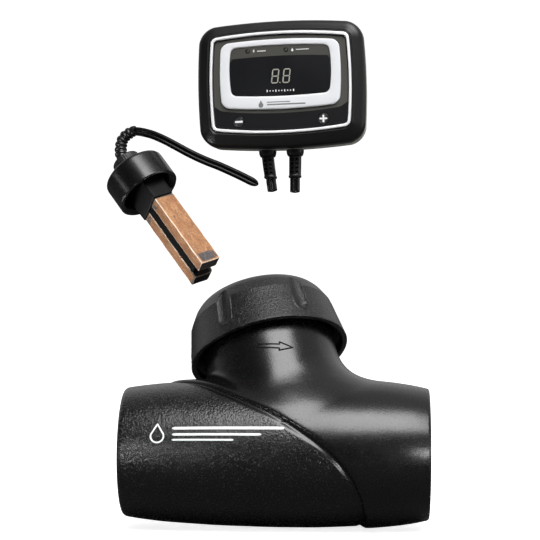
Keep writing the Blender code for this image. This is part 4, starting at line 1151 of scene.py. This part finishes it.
def opening(inset, corner):
    """The face opening's outline, moved inwards."""
    return barrel(OPEN_X - inset, OPEN_Z - inset, corner)


def window(inset, corner):
    return barrel(WINDOW_X - inset, WINDOW_Z - inset, corner, WINDOW_CENTRE, 2.0, 1.6)


def loft(name, rings, loop=False):
    """rings: (outline (n, 2) as x, z; y), joined in order; closed on itself or capped."""
    n, m = len(rings[0][0]), len(rings)
    verts = np.concatenate([np.stack([o[:, 0], np.full(n, y), o[:, 1]], -1) for o, y in rings])
    faces = ring_quads(m, n, loop)
    if not loop:
        faces.append(list(range(n))[::-1])
        faces.append([(m - 1) * n + j for j in range(n)])
    return tidy(new_mesh(name, BOX.world(verts), faces))


def plate(name, shapes, back, front, mat, slot, **kw):
    """Flat plates between y = back and y = front; each shape is [outline, *holes]."""
    verts, faces, base = [], [], 0
    for loops in shapes:
        tris = tessellate_polygon([[Vector((p[0], p[1], 0.0)) for p in lp] for lp in loops])
        points = np.concatenate([np.asarray(lp, float) for lp in loops])
        n = len(points)
        verts += [np.stack([points[:, 0], np.full(n, y), points[:, 1]], -1)
                  for y in (back, front)]
        faces += [[base + i for i in t] for t in tris]
        faces += [[base + i + n for i in t][::-1] for t in tris]
        start = base
        for lp in loops:
            m = len(lp)
            for j in range(m):
                k = (j + 1) % m
                faces.append([start + j, start + k, start + k + n, start + j + n])
            start += m
        base += 2 * n
    me = tidy(new_mesh(name, BOX.world(np.concatenate(verts)), faces))
    piece(name, me, mat, slot, sharp=35, **kw)


def circle(x, z, r, n=48):
    return np.array([(x + r * cos(2 * pi * k / n), z + r * sin(2 * pi * k / n))
                     for k in range(n)])


def spot(x, z):
    """A frame at (x, z) of the controller with its own z pointing out of the front."""
    return BOX.child(turn_about('X', 90), (x, 0, z))


# ---------------------------------------------------------------- bezel and seal
# (inset from the case outline, y)
BEZEL_SIDE = [(0.0, -0.8), (0.0, -2.4), (0.02, -4.2), (0.12, -5.6), (0.36, -6.8), (0.8, -7.8),
              (1.4, -8.6), (2.2, -9.35), (3.4, -10.2), (5.2, -11.25)]
# (fraction from the last of those to the lip, y)
BEZEL_SLOPE = [(0.2, -11.72), (0.4, -12.18), (0.6, -12.62), (0.8, -13.03), (0.90, -13.22),
               (0.94, -13.42), (0.97, -13.60), (1.0, -13.66)]
# (inset from the opening, corner, y)
BEZEL_LIP = [(-1.2, 5.4, -13.52), (-0.7, 5.0, -12.75), (-0.25, 4.7, -12.3), (0.0, 4.5, -12.15),
             (0.0, 4.5, -9.0)]
shoulder, lip = case(BEZEL_SIDE[-1][0]), opening(-1.5, 5.6)
ledge = barrel(54.6, 39.2, 3.0, FACE_CENTRE, 2.1, 3.8)
bezel = [(case(inset), y) for inset, y in BEZEL_SIDE]
bezel += [(shoulder * (1 - t) + lip * t, y) for t, y in BEZEL_SLOPE]
bezel += [(opening(inset, corner), y) for inset, corner, y in BEZEL_LIP]
bezel += [(ledge, -9.0), (ledge, -7.0), (case(2.5), -7.0), (case(2.5), -0.8)]
piece("bezel_frame", loft("bezel_frame", bezel, loop=True), BEZEL_BLACK, "bezel_plastic",
      replaces="front_bezel", sharp=42)
seal = [(case(inset), y) for inset, y in
        ((0.45, -0.5), (0.35, -0.2), (0.35, 0.2), (0.45, 0.5), (2.3, 0.5), (2.3, -0.5))]
piece("case_seal_strip", loft("case_seal_strip", seal, loop=True), SEAL_RUBBER, "seal_rubber",
      replaces="case_gasket", sharp=50)


# ---------------------------------------------------------------- rear shell
def rod(r, y0, y1, x, z, sides):
    """A cutting rod along y."""
    outline = circle(x, z, r, sides)
    return link("tool", loft("tool", [(outline, y0), (outline, y1)]))


def slab(size, centre):
    """A cutting block with barely rounded edges."""
    verts, faces = soft_box(size, radius=0.02, step=1000.0, arc=1)
    return link("tool", new_mesh("tool", BOX.world(verts + centre), faces))


def shell_jobs():
    """Screw bosses with clearance and head holes, posts, and two keyholes in the back."""
    jobs = []
    for sx in (-1, 1):
        for sz in (-1, 1):
            x, z = sx * SCREW_X, sz * SCREW_Z
            jobs += [('UNION', rod(4.3, 1.0, 18.5, x, z, 32)),
                     ('DIFFERENCE', rod(1.9, -2.0, 25.0, x, z, 24)),
                     ('DIFFERENCE', rod(3.4, 17.6, 25.0, x, z, 40)),
                     ('UNION', rod(2.6, 4.0, 18.5, sx * 42.0, sz * 26.0, 24))]
    for sx in (-1, 1):
        jobs += [('DIFFERENCE', rod(4.2, 10.0, 25.0, sx * 30.0, 8.0, 48)),
                 ('DIFFERENCE', slab((4.2, 10.0, 15.0), (sx * 30.0, BACK, 13.0)))]
    return jobs


def carve(me, jobs):
    o = link(me.name, me)
    for operation, tool in jobs:
        boolean = o.modifiers.new(operation, 'BOOLEAN')
        boolean.operation = operation
        boolean.solver = 'EXACT'
        boolean.object = tool
    out = evaluated(o)
    for used in [tool for _, tool in jobs] + [o]:
        bpy.data.objects.remove(used, do_unlink=True)
    return out


# (inset from the case outline, y): back, side and rim, then the inner wall
SHELL = [(9.5, BACK), (8.4, BACK), (7.2, BACK), (4.8, BACK - 0.13), (3.2, BACK - 0.6),
         (2.1, BACK - 1.4), (1.35, BACK - 2.6), (0.95, BACK - 4.2), (0.5, 9.0), (0.1, 2.4),
         (0.0, 1.4), (0.25, 0.95), (0.6, 0.8), (WALL, 0.8), (WALL + 0.8, BACK - 3.4),
         (WALL + 2.0, BACK - WALL)]
shell = loft("rear_housing", [(case(inset), y) for inset, y in SHELL])
shell = carve(shell, shell_jobs())
piece("rear_housing", shell, SHELL_GREY, "shell_plastic", replaces="rear_shell", sharp=35)

# ---------------------------------------------------------------- case screws
# (radius, z, corner rounding)
SCREW = [(0.0, 4.4, 0), (1.1, 4.4, .2), (1.5, 3.6, .2), (1.5, -17.8, .1), (2.9, -18.0, .15),
         (2.9, -19.3, .4), (2.2, -19.75, .3), (0.9, -19.75, .1), (0.0, -18.7, 0)]


def cross_recess(angle, r, z):
    nearest = np.minimum(np.abs(r * np.cos(angle)), np.abs(r * np.sin(angle)))
    recess = 0.9 * smoothstep(0.62, 0.42, nearest) * smoothstep(1.75, 1.5, r)
    return r, z + np.where(z < -18.9, recess, 0)


screw = dense(rounded([p[:2] for p in SCREW], [p[2] for p in SCREW], arc=3), 0.22)
for k, (sx, sz) in enumerate(((-1, 1), (1, 1), (-1, -1), (1, -1))):
    turned("case_screw_fine_%d" % (k + 1), screw, spot(sx * SCREW_X, sz * SCREW_Z), STEEL,
           "screw_steel", steps=96, push=cross_recess, replaces="case_screw_%d" % (k + 1),
           sharp=35)

# ---------------------------------------------------------------- trim rings
TRIM_GAP = 0.3
# (inset from the gap inside the opening, corner, y)
OUTER_TRIM = [(0.0, 4.2, -9.3), (0.0, 4.2, -12.6), (0.06, 4.1, -13.2), (0.22, 4.0, -13.42),
              (0.45, 3.9, -13.5), (1.1, 3.4, -13.5), (1.7, 3.1, -13.5), (1.95, 2.9, -13.42),
              (2.08, 2.85, -13.2), (2.1, 2.8, -12.8), (2.1, 2.8, -9.3)]
piece("trim_outer_fine",
      loft("trim_outer_fine", [(opening(TRIM_GAP + inset, corner), y)
                               for inset, corner, y in OUTER_TRIM], loop=True),
      TRIM_WHITE, "trim_silver", replaces="trim_ring_outer", sharp=50)
WINDOW_HOLE = window(0.0, 4.0)
RING_OUTLINE = barrel(RING_X, RING_Z, 6.0, RING_CENTRE, 1.8, 2.6)
# (fraction from the ring's outline to the window hole, y)
INNER_TRIM = [(0.0, -11.7), (0.0, -12.7), (0.02, -13.05), (0.05, -13.3), (0.10, -13.44),
              (0.2, -13.5), (0.5, -13.5), (0.84, -13.5), (0.93, -13.38), (0.975, -13.12),
              (1.0, -12.7), (1.0, -11.7)]
piece("trim_inner_fine",
      loft("trim_inner_fine", [(RING_OUTLINE * (1 - t) + WINDOW_HOLE * t, y)
                               for t, y in INNER_TRIM], loop=True),
      SILVER, "trim_silver", replaces="trim_ring_inner", sharp=50)

# ---------------------------------------------------------------- face overlay
key_holes = [circle(sx * KEY_X, KEY_Z, KEY_R + 0.45, 64)[::-1] for sx in (-1, 1)]
plate("face_overlay", [[opening(2.7, 2.6), WINDOW_HOLE[::-1]] + key_holes], -9.3, -11.35,
      FACE_GREY, "face_film", replaces="face_plate")


def by_angle(points, pivot_z):
    """Points as tuples, in order round (0, pivot_z) from the -x side."""
    return sorted((tuple(p) for p in points), key=lambda p: atan2(p[1] - pivot_z, p[0]))


def band_line(x):
    """Height of the dark band's top edge."""
    return -24.6 + 3.4 * (np.abs(x) / 50.0) ** 2.2 \
        + 3.6 * smoothstep(46.0, 57.0, np.abs(x)) ** 1.5


band = by_angle([p for p in opening(2.85, 2.5) if p[1] < band_line(p[0])], -10.0)
band_xs = np.linspace(max(p[0] for p in band) - 0.15, min(p[0] for p in band) + 0.15, 90)
band += [(x, float(band_line(x))) for x in band_xs]
plate("face_band", [[band] + key_holes], -11.3, -11.44, BAND_BLACK, "face_film")
# a thin dark line where the overlay meets the outer ring
plate("face_edge_line", [[opening(2.62, 2.6), opening(3.5, 2.3)[::-1]]], -11.3, -11.5,
      RIM_BLACK, "face_film")

# ---------------------------------------------------------------- window and lamps
lamp_holes = [circle(x, LAMPS_Z, 1.95, 40)[::-1] for x in LAMPS_X]
plate("window_pane", [[window(0.3, 3.7)] + lamp_holes], -9.6, -12.45, WINDOW_TINT,
      "window_tint", replaces="display_window")


def strip_line(x):
    """Height of the grey top strip's lower edge."""
    return 20.9 + 1.5 * (1 - (x / 41.0) ** 2) - 3.4 * smoothstep(38.2, 41.4, np.abs(x)) ** 2


strip = by_angle([p for p in window(0.45, 3.6) if p[1] > 21.6], 0.0)
strip_xs = np.linspace(min(p[0] for p in strip) - 0.1, max(p[0] for p in strip) + 0.1, 90)
strip += [(x, float(strip_line(x))) for x in strip_xs]
plate("window_strip", [[strip] + lamp_holes], -12.4, -12.56, STRIP_GREY, "window_tint")

# (radius, z)
LAMP_DOME = [(0.0, 12.75), (0.5, 12.68), (0.95, 12.4), (1.3, 11.9), (1.45, 11.2), (1.5, 10.4)]
lamp = smooth_line(LAMP_DOME, 0.2) + [(1.5, 9.0), (1.5, -1.8), (0.0, -1.8)]
lamp_ring = rounded([(1.92, 12.55), (1.92, 11.0), (1.6, 11.0), (1.6, 12.35)], 0.12, arc=3,
                    closed=True)
for key, x in zip(("power", "ion"), LAMPS_X):
    turned("lamp_" + key, lamp, spot(x, LAMPS_Z), LED_EPOXY, "led_clear", steps=40,
           replaces="led_" + key)
    turned("lamp_ring_" + key, lamp_ring, spot(x, LAMPS_Z), RIM_BLACK, "window_tint", steps=48,
           closed=True, sharp=50)


# ---------------------------------------------------------------- printed marks
def bar(x0, x1, z0, z1):
    return [[(x0, z0), (x1, z0), (x1, z1), (x0, z1)]]


def segment(x, z, half, thick, vertical):
    """A six-sided display segment."""
    p = [(-half, 0), (-half + thick, thick), (half - thick, thick), (half, 0),
         (half - thick, -thick), (-half + thick, -thick)]
    if vertical:
        p = [(b, a) for a, b in p]
    return [(x + a, z + b) for a, b in p]


def digit(centre_x, centre_z, width=5.0, height=11.0, thick=0.46, gap=0.16, slant=0.12):
    half_w, quarter = width / 2, height / 4
    # (x, z, half length, vertical)
    spots = [(0, 2 * quarter, half_w, False), (0, 0, half_w, False),
             (0, -2 * quarter, half_w, False), (-half_w, quarter, quarter, True),
             (half_w, quarter, quarter, True), (-half_w, -quarter, quarter, True),
             (half_w, -quarter, quarter, True)]
    return [[[(centre_x + a + slant * b, centre_z + b)
              for a, b in segment(x, z, half - gap, thick, vertical)]]
            for x, z, half, vertical in spots]


def droplet(x, z, r, n=28):
    """Most of a circle, closed by a point above it."""
    points = []
    for k in range(n):
        a = pi * 0.19 + (2 * pi - 2 * pi * 0.19) * k / (n - 1) + pi / 2
        points.append((x + r * cos(a), z + r * sin(a)))
    return points + [(x, z + r * 2.1)]


BOLT = [(0.35, 1.2), (0.0, 0.25), (0.6, 0.25), (-0.3, -1.2), (-0.1, -0.15), (-0.75, -0.15),
        (-0.1, 1.2)]
DIGITS_Z = 5.6
segments = digit(-4.0, DIGITS_Z) + digit(5.3, DIGITS_Z)
segments.append([[(-0.2 + a, DIGITS_Z - 5.4 + b) for a, b in circle(0, 0, 0.5, 12)]])
plate("display_digits", segments, -12.44, -12.53, INK_WARM, "window_tint")
ticks = []
for k in range(10):
    x, half = -10.8 + 2.4 * k, 0.95 if k % 3 == 0 else 0.5
    ticks.append(bar(x - 0.4, x + 0.4, WINDOW_CENTRE - 16.6 - half,
                     WINDOW_CENTRE - 16.6 + half))
plate("display_scale", ticks, -12.44, -12.52, INK_WHITE, "window_tint")
left_lamp, right_lamp = LAMPS_X
icon_bar_z = (LAMPS_Z - 0.35, LAMPS_Z + 0.25)
icons = [[[(left_lamp + 5.2 + a * 1.25, LAMPS_Z + b * 1.25) for a, b in BOLT]],
         bar(left_lamp + 8.0, left_lamp + 15.0, *icon_bar_z),
         [droplet(right_lamp + 5.4, LAMPS_Z - 0.5, 0.95)],
         bar(right_lamp + 8.4, right_lamp + 19.0, *icon_bar_z)]
plate("window_icons", icons, -12.5, -12.62, INK_WHITE, "window_tint")
ring_mark = [[droplet(-16.0, RING_CENTRE - 25.4, 2.0)]]
for x1, z, half in ((20.5, -25.2, 0.55), (8.0, -23.2, 0.35)):
    ring_mark.append(bar(-11.0, x1, RING_CENTRE + z - half, RING_CENTRE + z + half))
plate("ring_mark", ring_mark, -13.48, -13.56, INK_GREY, "trim_silver")

# ---------------------------------------------------------------- keys
# (radius, z): a shallow dish with a raised ring, then the stem
KEY_DISH = [(0.0, 11.6), (3.0, 11.6), (3.75, 11.62), (3.95, 11.78), (4.05, 11.85),
            (4.2, 11.75), (KEY_R, 11.5), (KEY_R, 11.3)]
KEY_STEM = [(KEY_R, 9.0), (5.3, 9.0), (5.3, 8.1), (1.6, 8.1), (1.6, 6.8), (0.0, 6.8)]
SIGN_HALF, MINUS_HALF, PLUS_HALF = 3.1, 0.8, 0.72        # half length, half thicknesses
h, w = SIGN_HALF, PLUS_HALF
PLUS = [(-h, -w), (-w, -w), (-w, -h), (w, -h), (w, -w), (h, -w), (h, w), (w, w), (w, h),
        (-w, h), (-w, w), (-h, w)]
for key, x in (("minus", -KEY_X), ("plus", KEY_X)):
    turned("key_" + key, smooth_line(KEY_DISH, 0.15) + KEY_STEM, spot(x, KEY_Z), BUTTON_BLACK,
           "button_black", steps=96, body=key + "_key", replaces="button_" + key)
    if key == "plus":
        sign = [[(x + a, KEY_Z + b) for a, b in PLUS]]
    else:
        sign = bar(x - SIGN_HALF, x + SIGN_HALF, KEY_Z - MINUS_HALF, KEY_Z + MINUS_HALF)
    plate("key_sign_" + key, [sign], -11.56, -11.70, INK_WHITE, "button_black",
          body=key + "_key")

# ---------------------------------------------------------------- boots and short leads
CASE_FOOT, BOOT_Y = -BOX_Z, 8.0
BOOT_R, BOOT_LENGTH = 5.22, 23.0
SQUARENESS = 3.4                                 # superellipse exponent


def relief_radius(depth):
    """Boot radius at a depth below the case; negative depths are inside it."""
    if depth < -0.2:
        return 6.4 if depth < -4.0 else 4.9
    if depth < 5.4:
        return float(np.interp(depth, [-0.2, 0.15, 0.4, 2.9, 3.6, 4.6, 5.0, 5.2, 5.4],
                               [7.0, 7.5, 7.55, 7.2, 6.95, 6.55, 6.2, 5.5, BOOT_R]))
    r = BOOT_R - 0.008 * (depth - 5.4)
    r += 0.40 * smoothstep(20.9, 21.4, depth) * smoothstep(23.2, 22.7, depth)
    if depth > 20:
        r *= nose(BOOT_LENGTH - 0.01 - depth, 99.0, 0.8, 0.1) * 0.12 + 0.88
    return r


def relief_boot(key, x, lean):
    """A squarish boot with two columns of pockets front and back; its foot leans along x."""
    m = 96
    angle = full_turn(m)
    ct, st = np.cos(angle), np.sin(angle)
    square = 1.0 / (np.abs(ct) ** SQUARENESS + np.abs(st) ** SQUARENESS) ** (1 / SQUARENESS)
    heights = np.concatenate([np.linspace(CASE_FOOT + 5.4, CASE_FOOT - 0.3, 10),
                              np.linspace(CASE_FOOT - 0.45, CASE_FOOT - 5.4, 18),
                              np.linspace(CASE_FOOT - 5.7, CASE_FOOT - BOOT_LENGTH, 62)])
    rings = []
    for z in heights:
        depth = CASE_FOOT - z
        r = relief_radius(depth) * (1.0 + (square - 1.0) * (0.55 if depth > 5.4 else 0.15))
        across, through = r * 0.965 * ct, r * 0.965 * st
        if 6.5 < depth < 21.0:
            broad = smoothstep(0.40, 0.6, np.abs(st))
            for column in (-1.95, 1.95):
                for row in range(4):
                    pocket = smoothstep(1.3, 1.0, np.abs(across - column)) \
                        * smoothstep(1.2, 0.9, abs(depth - (8.6 + 3.45 * row)))
                    through = through * (1 - 0.40 * pocket * broad)
        shift = lean * float(np.interp(depth, [0, 2.6, 4.9, 12.0, 18.0, BOOT_LENGTH],
                                       [0, 0.0, 0.02, 0.3, 0.62, 0.9]))
        rings.append(np.stack([x + shift + across, BOOT_Y + through, np.full(m, z)], -1))
    faces = ring_quads(len(rings), m)
    faces.append(list(range(m)))
    faces.append([(len(rings) - 1) * m + j for j in range(m)][::-1])
    me = new_mesh(key + "_relief", BOX.world(np.concatenate(rings)), faces)
    piece(key + "_relief", me, BOOT_RUBBER, "boot_rubber", replaces=key + "_boot", sharp=38,
          weld=0.001)


# key, x, lean of the boot's foot, sideways slope of the lead, its length below the path's zero
for key, x, lean, slope, length in (("power", -14.2, 2.4, 0.128571, 8.9),
                                    ("signal", 8.6, -0.6, -0.02, 10.4)):
    relief_boot(key, x, lean)
    foot_x, foot_z = x + lean, CASE_FOOT - 25.2
    path = [(foot_x - slope * 4.5, BOOT_Y, foot_z + 4.6), (foot_x, BOOT_Y, foot_z + 1.9)]
    path += [(foot_x + slope * drop, BOOT_Y, foot_z - drop) for drop in (0.0, 3.0, 7.0, length)]
    lead(key, path, half_width=4.1, half_thick=2.3, place=BOX, mat=STUB_BLACK,
         start=(foot_x, BOOT_Y, foot_z + 1.9), end=(foot_x, BOOT_Y, foot_z - 3.5), r_in=0.5,
         r_out=1.3)

# ================================================================ carried-over nodes
for node, mat in (("electrode_stud_front", BRASS), ("electrode_stud_rear", BRASS),
                  ("display_module", DISPLAY_BLACK), ("switch_minus", SWITCH_BLACK),
                  ("switch_plus", SWITCH_BLACK), ("circuit_board", BOARD_GREEN),
                  ("controller_chip", CHIP_EPOXY), ("capacitor", ALUMINIUM),
                  ("terminal_block", TERMINAL_GREEN)):
    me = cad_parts[node].data
    me.materials.clear()
    me.materials.append(mat)

# ================================================================ marks on the chamber
MARK_DEGREES, MARK_X = 99.0, -51.0
ARROW_TURN, ARROW_DEGREES, ARROW_UP, ARROW_R = radians(-13.5), -87.0, 71.4, 57.0


def panel_skin(p):
    """Mark coordinates (along the chamber, up) to points and normals of the panel."""
    x = MARK_X + p[:, 0]
    r = np.interp(x, PANEL_X, PANEL_R)
    angle = np.radians(MARK_DEGREES) - p[:, 1] / 59.0
    P = np.stack([x, -r * np.sin(angle), r * np.cos(angle)], -1)
    return P, unit(P * (0, 1, 1))


def neck_skin(p):
    """Arrow coordinates, turned in their plane, to points and normals of the neck."""
    ct, st = cos(ARROW_TURN), sin(ARROW_TURN)
    a, b = p[:, 0] * ct - p[:, 1] * st, p[:, 0] * st + p[:, 1] * ct
    angle = radians(ARROW_DEGREES) + a / ARROW_R
    Q = np.stack([ARROW_R * np.cos(angle), ARROW_R * np.sin(angle), ARROW_UP + b], -1)
    P = project(chamber_field, Q @ BRANCH_TURN.T + BRANCH_ORIGIN, rounds=5, limit=2.0)
    return P, unit(gradient(chamber_field, P, 0.2))


def skin_strokes(name, strokes, skin, mat, lift):
    """strokes: (centre line, half width, closed), laid on a skin as thin relief."""
    # (side, height) round the stroke's section
    section = ((1.0, -0.08), (-1.0, -0.08), (-1.0, lift * 0.6), (-0.5, lift), (0.5, lift),
               (1.0, lift * 0.6))
    verts, faces, base = [], [], 0
    for points, half_width, closed in strokes:
        p = np.array(points, float)
        n = len(p)
        ahead = (np.roll(p, -1, 0) - np.roll(p, 1, 0)) if closed else np.gradient(p, axis=0)
        across = unit(np.stack([-ahead[:, 1], ahead[:, 0]], -1))
        half = np.full(n, half_width)
        if not closed:                           # taper the ends
            from_end = np.minimum(np.arange(n), np.arange(n)[::-1])
            half = half_width * np.clip((from_end + 0.8) / 1.8, 0.4, 1.0)
        for side, height in section:
            P, normal = skin(p + across * (half * side)[:, None])
            verts.append(P + normal * height)
        for i in range(n if closed else n - 1):
            i2 = (i + 1) % n
            for k in range(6):
                a, b = base + k * n, base + (k + 1) % 6 * n
                faces.append([a + i, b + i, b + i2, a + i2])
        if not closed:
            faces.append([base + k * n for k in range(6)][::-1])
            faces.append([base + k * n + n - 1 for k in range(6)])
        base += 6 * n
    me = tidy(new_mesh(name, CHAMBER.world(np.concatenate(verts)), faces))
    piece(name, me, mat, "chamber_plastic", sharp=50)


def along(points, step):
    """Resample a closed polygon, corners kept."""
    out = []
    for p, q in zip(points, points[1:] + points[:1]):
        n = max(1, int(round(hypot(q[0] - p[0], q[1] - p[1]) / step)))
        out += [(p[0] + (q[0] - p[0]) * k / n, p[1] + (q[1] - p[1]) * k / n) for k in range(n)]
    return out


# a droplet outline and three bars on the panel
DROP_X, DROP_Z, DROP_R = -41.0, -1.6, 5.2
drop = [(DROP_X + DROP_R * cos(a), DROP_Z + DROP_R * sin(a))
        for a in np.linspace(radians(140), radians(400), 40)]
drop.append((DROP_X, DROP_Z + 10.6))
strokes = [(along(drop, 0.8), 0.62, True)]
for x1, z, half_width in ((60, 5.0, 1.15), (42, -0.2, 0.95), (20, -4.6, 0.75)):
    strokes.append(([(x, z) for x in np.linspace(-29, x1, 48)], half_width, False))
skin_strokes("pipe_mark", strokes, panel_skin, INK_WHITE, lift=0.10)
ARROW = [(-14.6, -1.5), (3.6, -1.8), (3.2, -3.9), (14.8, 0.0), (3.2, 3.9), (3.6, 1.8),
         (-14.6, 1.5)]
skin_strokes("flow_arrow", [(along(ARROW, 0.7), 0.60, True)], neck_skin, LINE_BLACK, lift=0.22)


# ================================================================ stage, light, camera
def studio_world():
    """Bright above, behind and to the right, dark on the camera's side; white to the camera."""
    world = bpy.data.worlds.new("studio")
    bpy.context.scene.world = world
    s = Shader(world)
    white = (1.0, 1.0, 1.0, 1)
    towards = s.add("SeparateXYZ", {0: s.add("TexCoord").outputs["Generated"]}).outputs
    x, y, z = towards["X"], towards["Y"], towards["Z"]
    above = s.ramp(z, low=-0.05, high=0.75, end=0.52)
    above = s.times(above, s.ramp(y, low=-0.75, high=0.25, start=0.30))
    above = s.times(above, s.ramp(x, low=-0.65, high=0.15, start=0.12))
    behind = s.ramp(y, low=-0.15, high=0.75, end=0.5)
    right = s.ramp(x, low=0.1, high=0.9, end=0.34)
    glow = s.math('MAXIMUM', s.math('MAXIMUM', above, behind), right)
    glow = s.times(glow, s.ramp(z, low=-0.35, high=0.10, start=0.12))
    base_glow = 0.025
    light = s.add("Background", {"Color": white, "Strength": s.plus(glow, base_glow)})
    seen = s.add("Background", {"Color": white, "Strength": 1.0})
    mixed = s.add("MixShader", {0: s.camera_ray(), 1: light.outputs[0], 2: seen.outputs[0]})
    s.add("OutputWorld", {0: mixed.outputs[0]})


def floor_material():
    """Pale and self-lit to the camera; to other rays dark, its raised part glowing."""
    s = Material("pale_floor")
    tone = s.noise(scale=3.0, detail=2.0, rough=0.5)
    s.finish(colour=s.mix(tone, (0.88, 0.88, 0.88, 1), (0.92, 0.92, 0.92, 1)), rough=0.7,
             spec=0.2, normal=s.bump(s.noise(scale=400.0), depth_mm=0.02))
    lift = s.add("Emission", {"Color": (1, 1, 1, 1), "Strength": 0.80})
    seen = s.add("AddShader", {0: s.bsdf.outputs[0], 1: lift.outputs[0]})
    dark = s.add("BsdfDiffuse", {0: (0.10, 0.10, 0.10, 1)})
    height = s.add("SeparateXYZ", {0: s.where()}).outputs["Z"]
    wall = s.add("Emission", {"Strength": s.ramp(height, low=0.15, high=2.2, end=0.75)})
    unseen = s.add("AddShader", {0: dark.outputs[0], 1: wall.outputs[0]})
    mixed = s.add("MixShader", {0: s.camera_ray(), 1: unseen.outputs[0], 2: seen.outputs[0]})
    s.feed(s.output.inputs[0], mixed.outputs[0])
    return s.material


def floor_sweep():
    """A floor (metres) that curves up into a wall behind the set."""
    front, bend, radius, top, half_width, steps = -6.0, 3.0, 2.5, 9.0, 14.0, 40
    drop = 0.0004                                # keeps the floor just under the set
    rows = []
    for k in range(steps + 1):
        t = k / steps
        if t < 0.5:
            rows.append((front + t * 2 * (bend - front), 0.0))
        else:
            a = (t - 0.5) * pi
            rows.append((bend + radius * sin(a), radius - radius * cos(a)))
    rows.append((bend + radius, top))
    verts = [(x, y, z - drop) for y, z in rows for x in (-half_width, half_width)]
    faces = [[2 * k, 2 * k + 1, 2 * k + 3, 2 * k + 2] for k in range(len(rows) - 1)]
    me = new_mesh("floor_sweep", verts, faces)
    me.shade_smooth()
    me.materials.append(floor_material())
    link("floor_sweep", me)


def softbox(name, at, aim, size, power, spread=180.0):
    """An area light at a place in metres, facing aim; spread in degrees."""
    light = bpy.data.lights.new(name, 'AREA')
    light.shape = 'RECTANGLE'
    light.size, light.size_y = size
    light.energy = power
    light.spread = radians(spread)
    o = link(name, light)
    o.location = at
    o.rotation_euler = (Vector(aim) - Vector(at)).to_track_quat('-Z', 'Y').to_euler()
    return o


studio_world()
floor_sweep()
softbox("key_top_front", at=(0.36, -1.15, 1.85), aim=(0.0, 0.0, 0.2), size=(1.45, 1.20),
        power=58.0)
softbox("left_side", at=(-1.75, -0.45, 0.20), aim=(-0.12, -0.05, 0.05), size=(0.40, 0.4),
        power=0.035, spread=16.0)
softbox("right_side", at=(1.8, -0.35, 0.32), aim=(0.05, 0, 0.12), size=(0.45, 0.9), power=1.8)
softbox("right_end", at=(1.75, -0.62, 0.16), aim=(0.12, -0.05, 0.05), size=(0.34, 0.3),
        power=0.060, spread=16.0)
softbox("left_low", at=(-0.93, -1.37, 0.25), aim=(-0.130, -0.05, 0.065), size=(0.26, 0.22),
        power=0.052, spread=9.0)
softbox("right_low", at=(0.93, -1.50, 0.25), aim=(0.125, -0.05, 0.06), size=(0.28, 0.26),
        power=0.066, spread=12.0)
fill = softbox("probe_fill", at=(-0.33, -0.09, 0.03), aim=(-0.078, -0.05, 0.235),
               size=(0.16, 0.16), power=0.15, spread=50.0)
fill.visible_camera = False

camera = bpy.data.cameras.new("photo_camera")
camera.lens = 117.6
camera.sensor_width = 36.0
camera.clip_end = 100.0
cam = link("photo_camera", camera)
cam.location = tuple(GROUP.world((-4.92, -1447.0, 150.06))[0])
cam.rotation_euler = (radians(90), 0, 0)
bpy.context.scene.camera = cam
bpy.context.scene.view_settings.view_transform = 'Standard'
bpy.context.scene.view_settings.look = 'None'
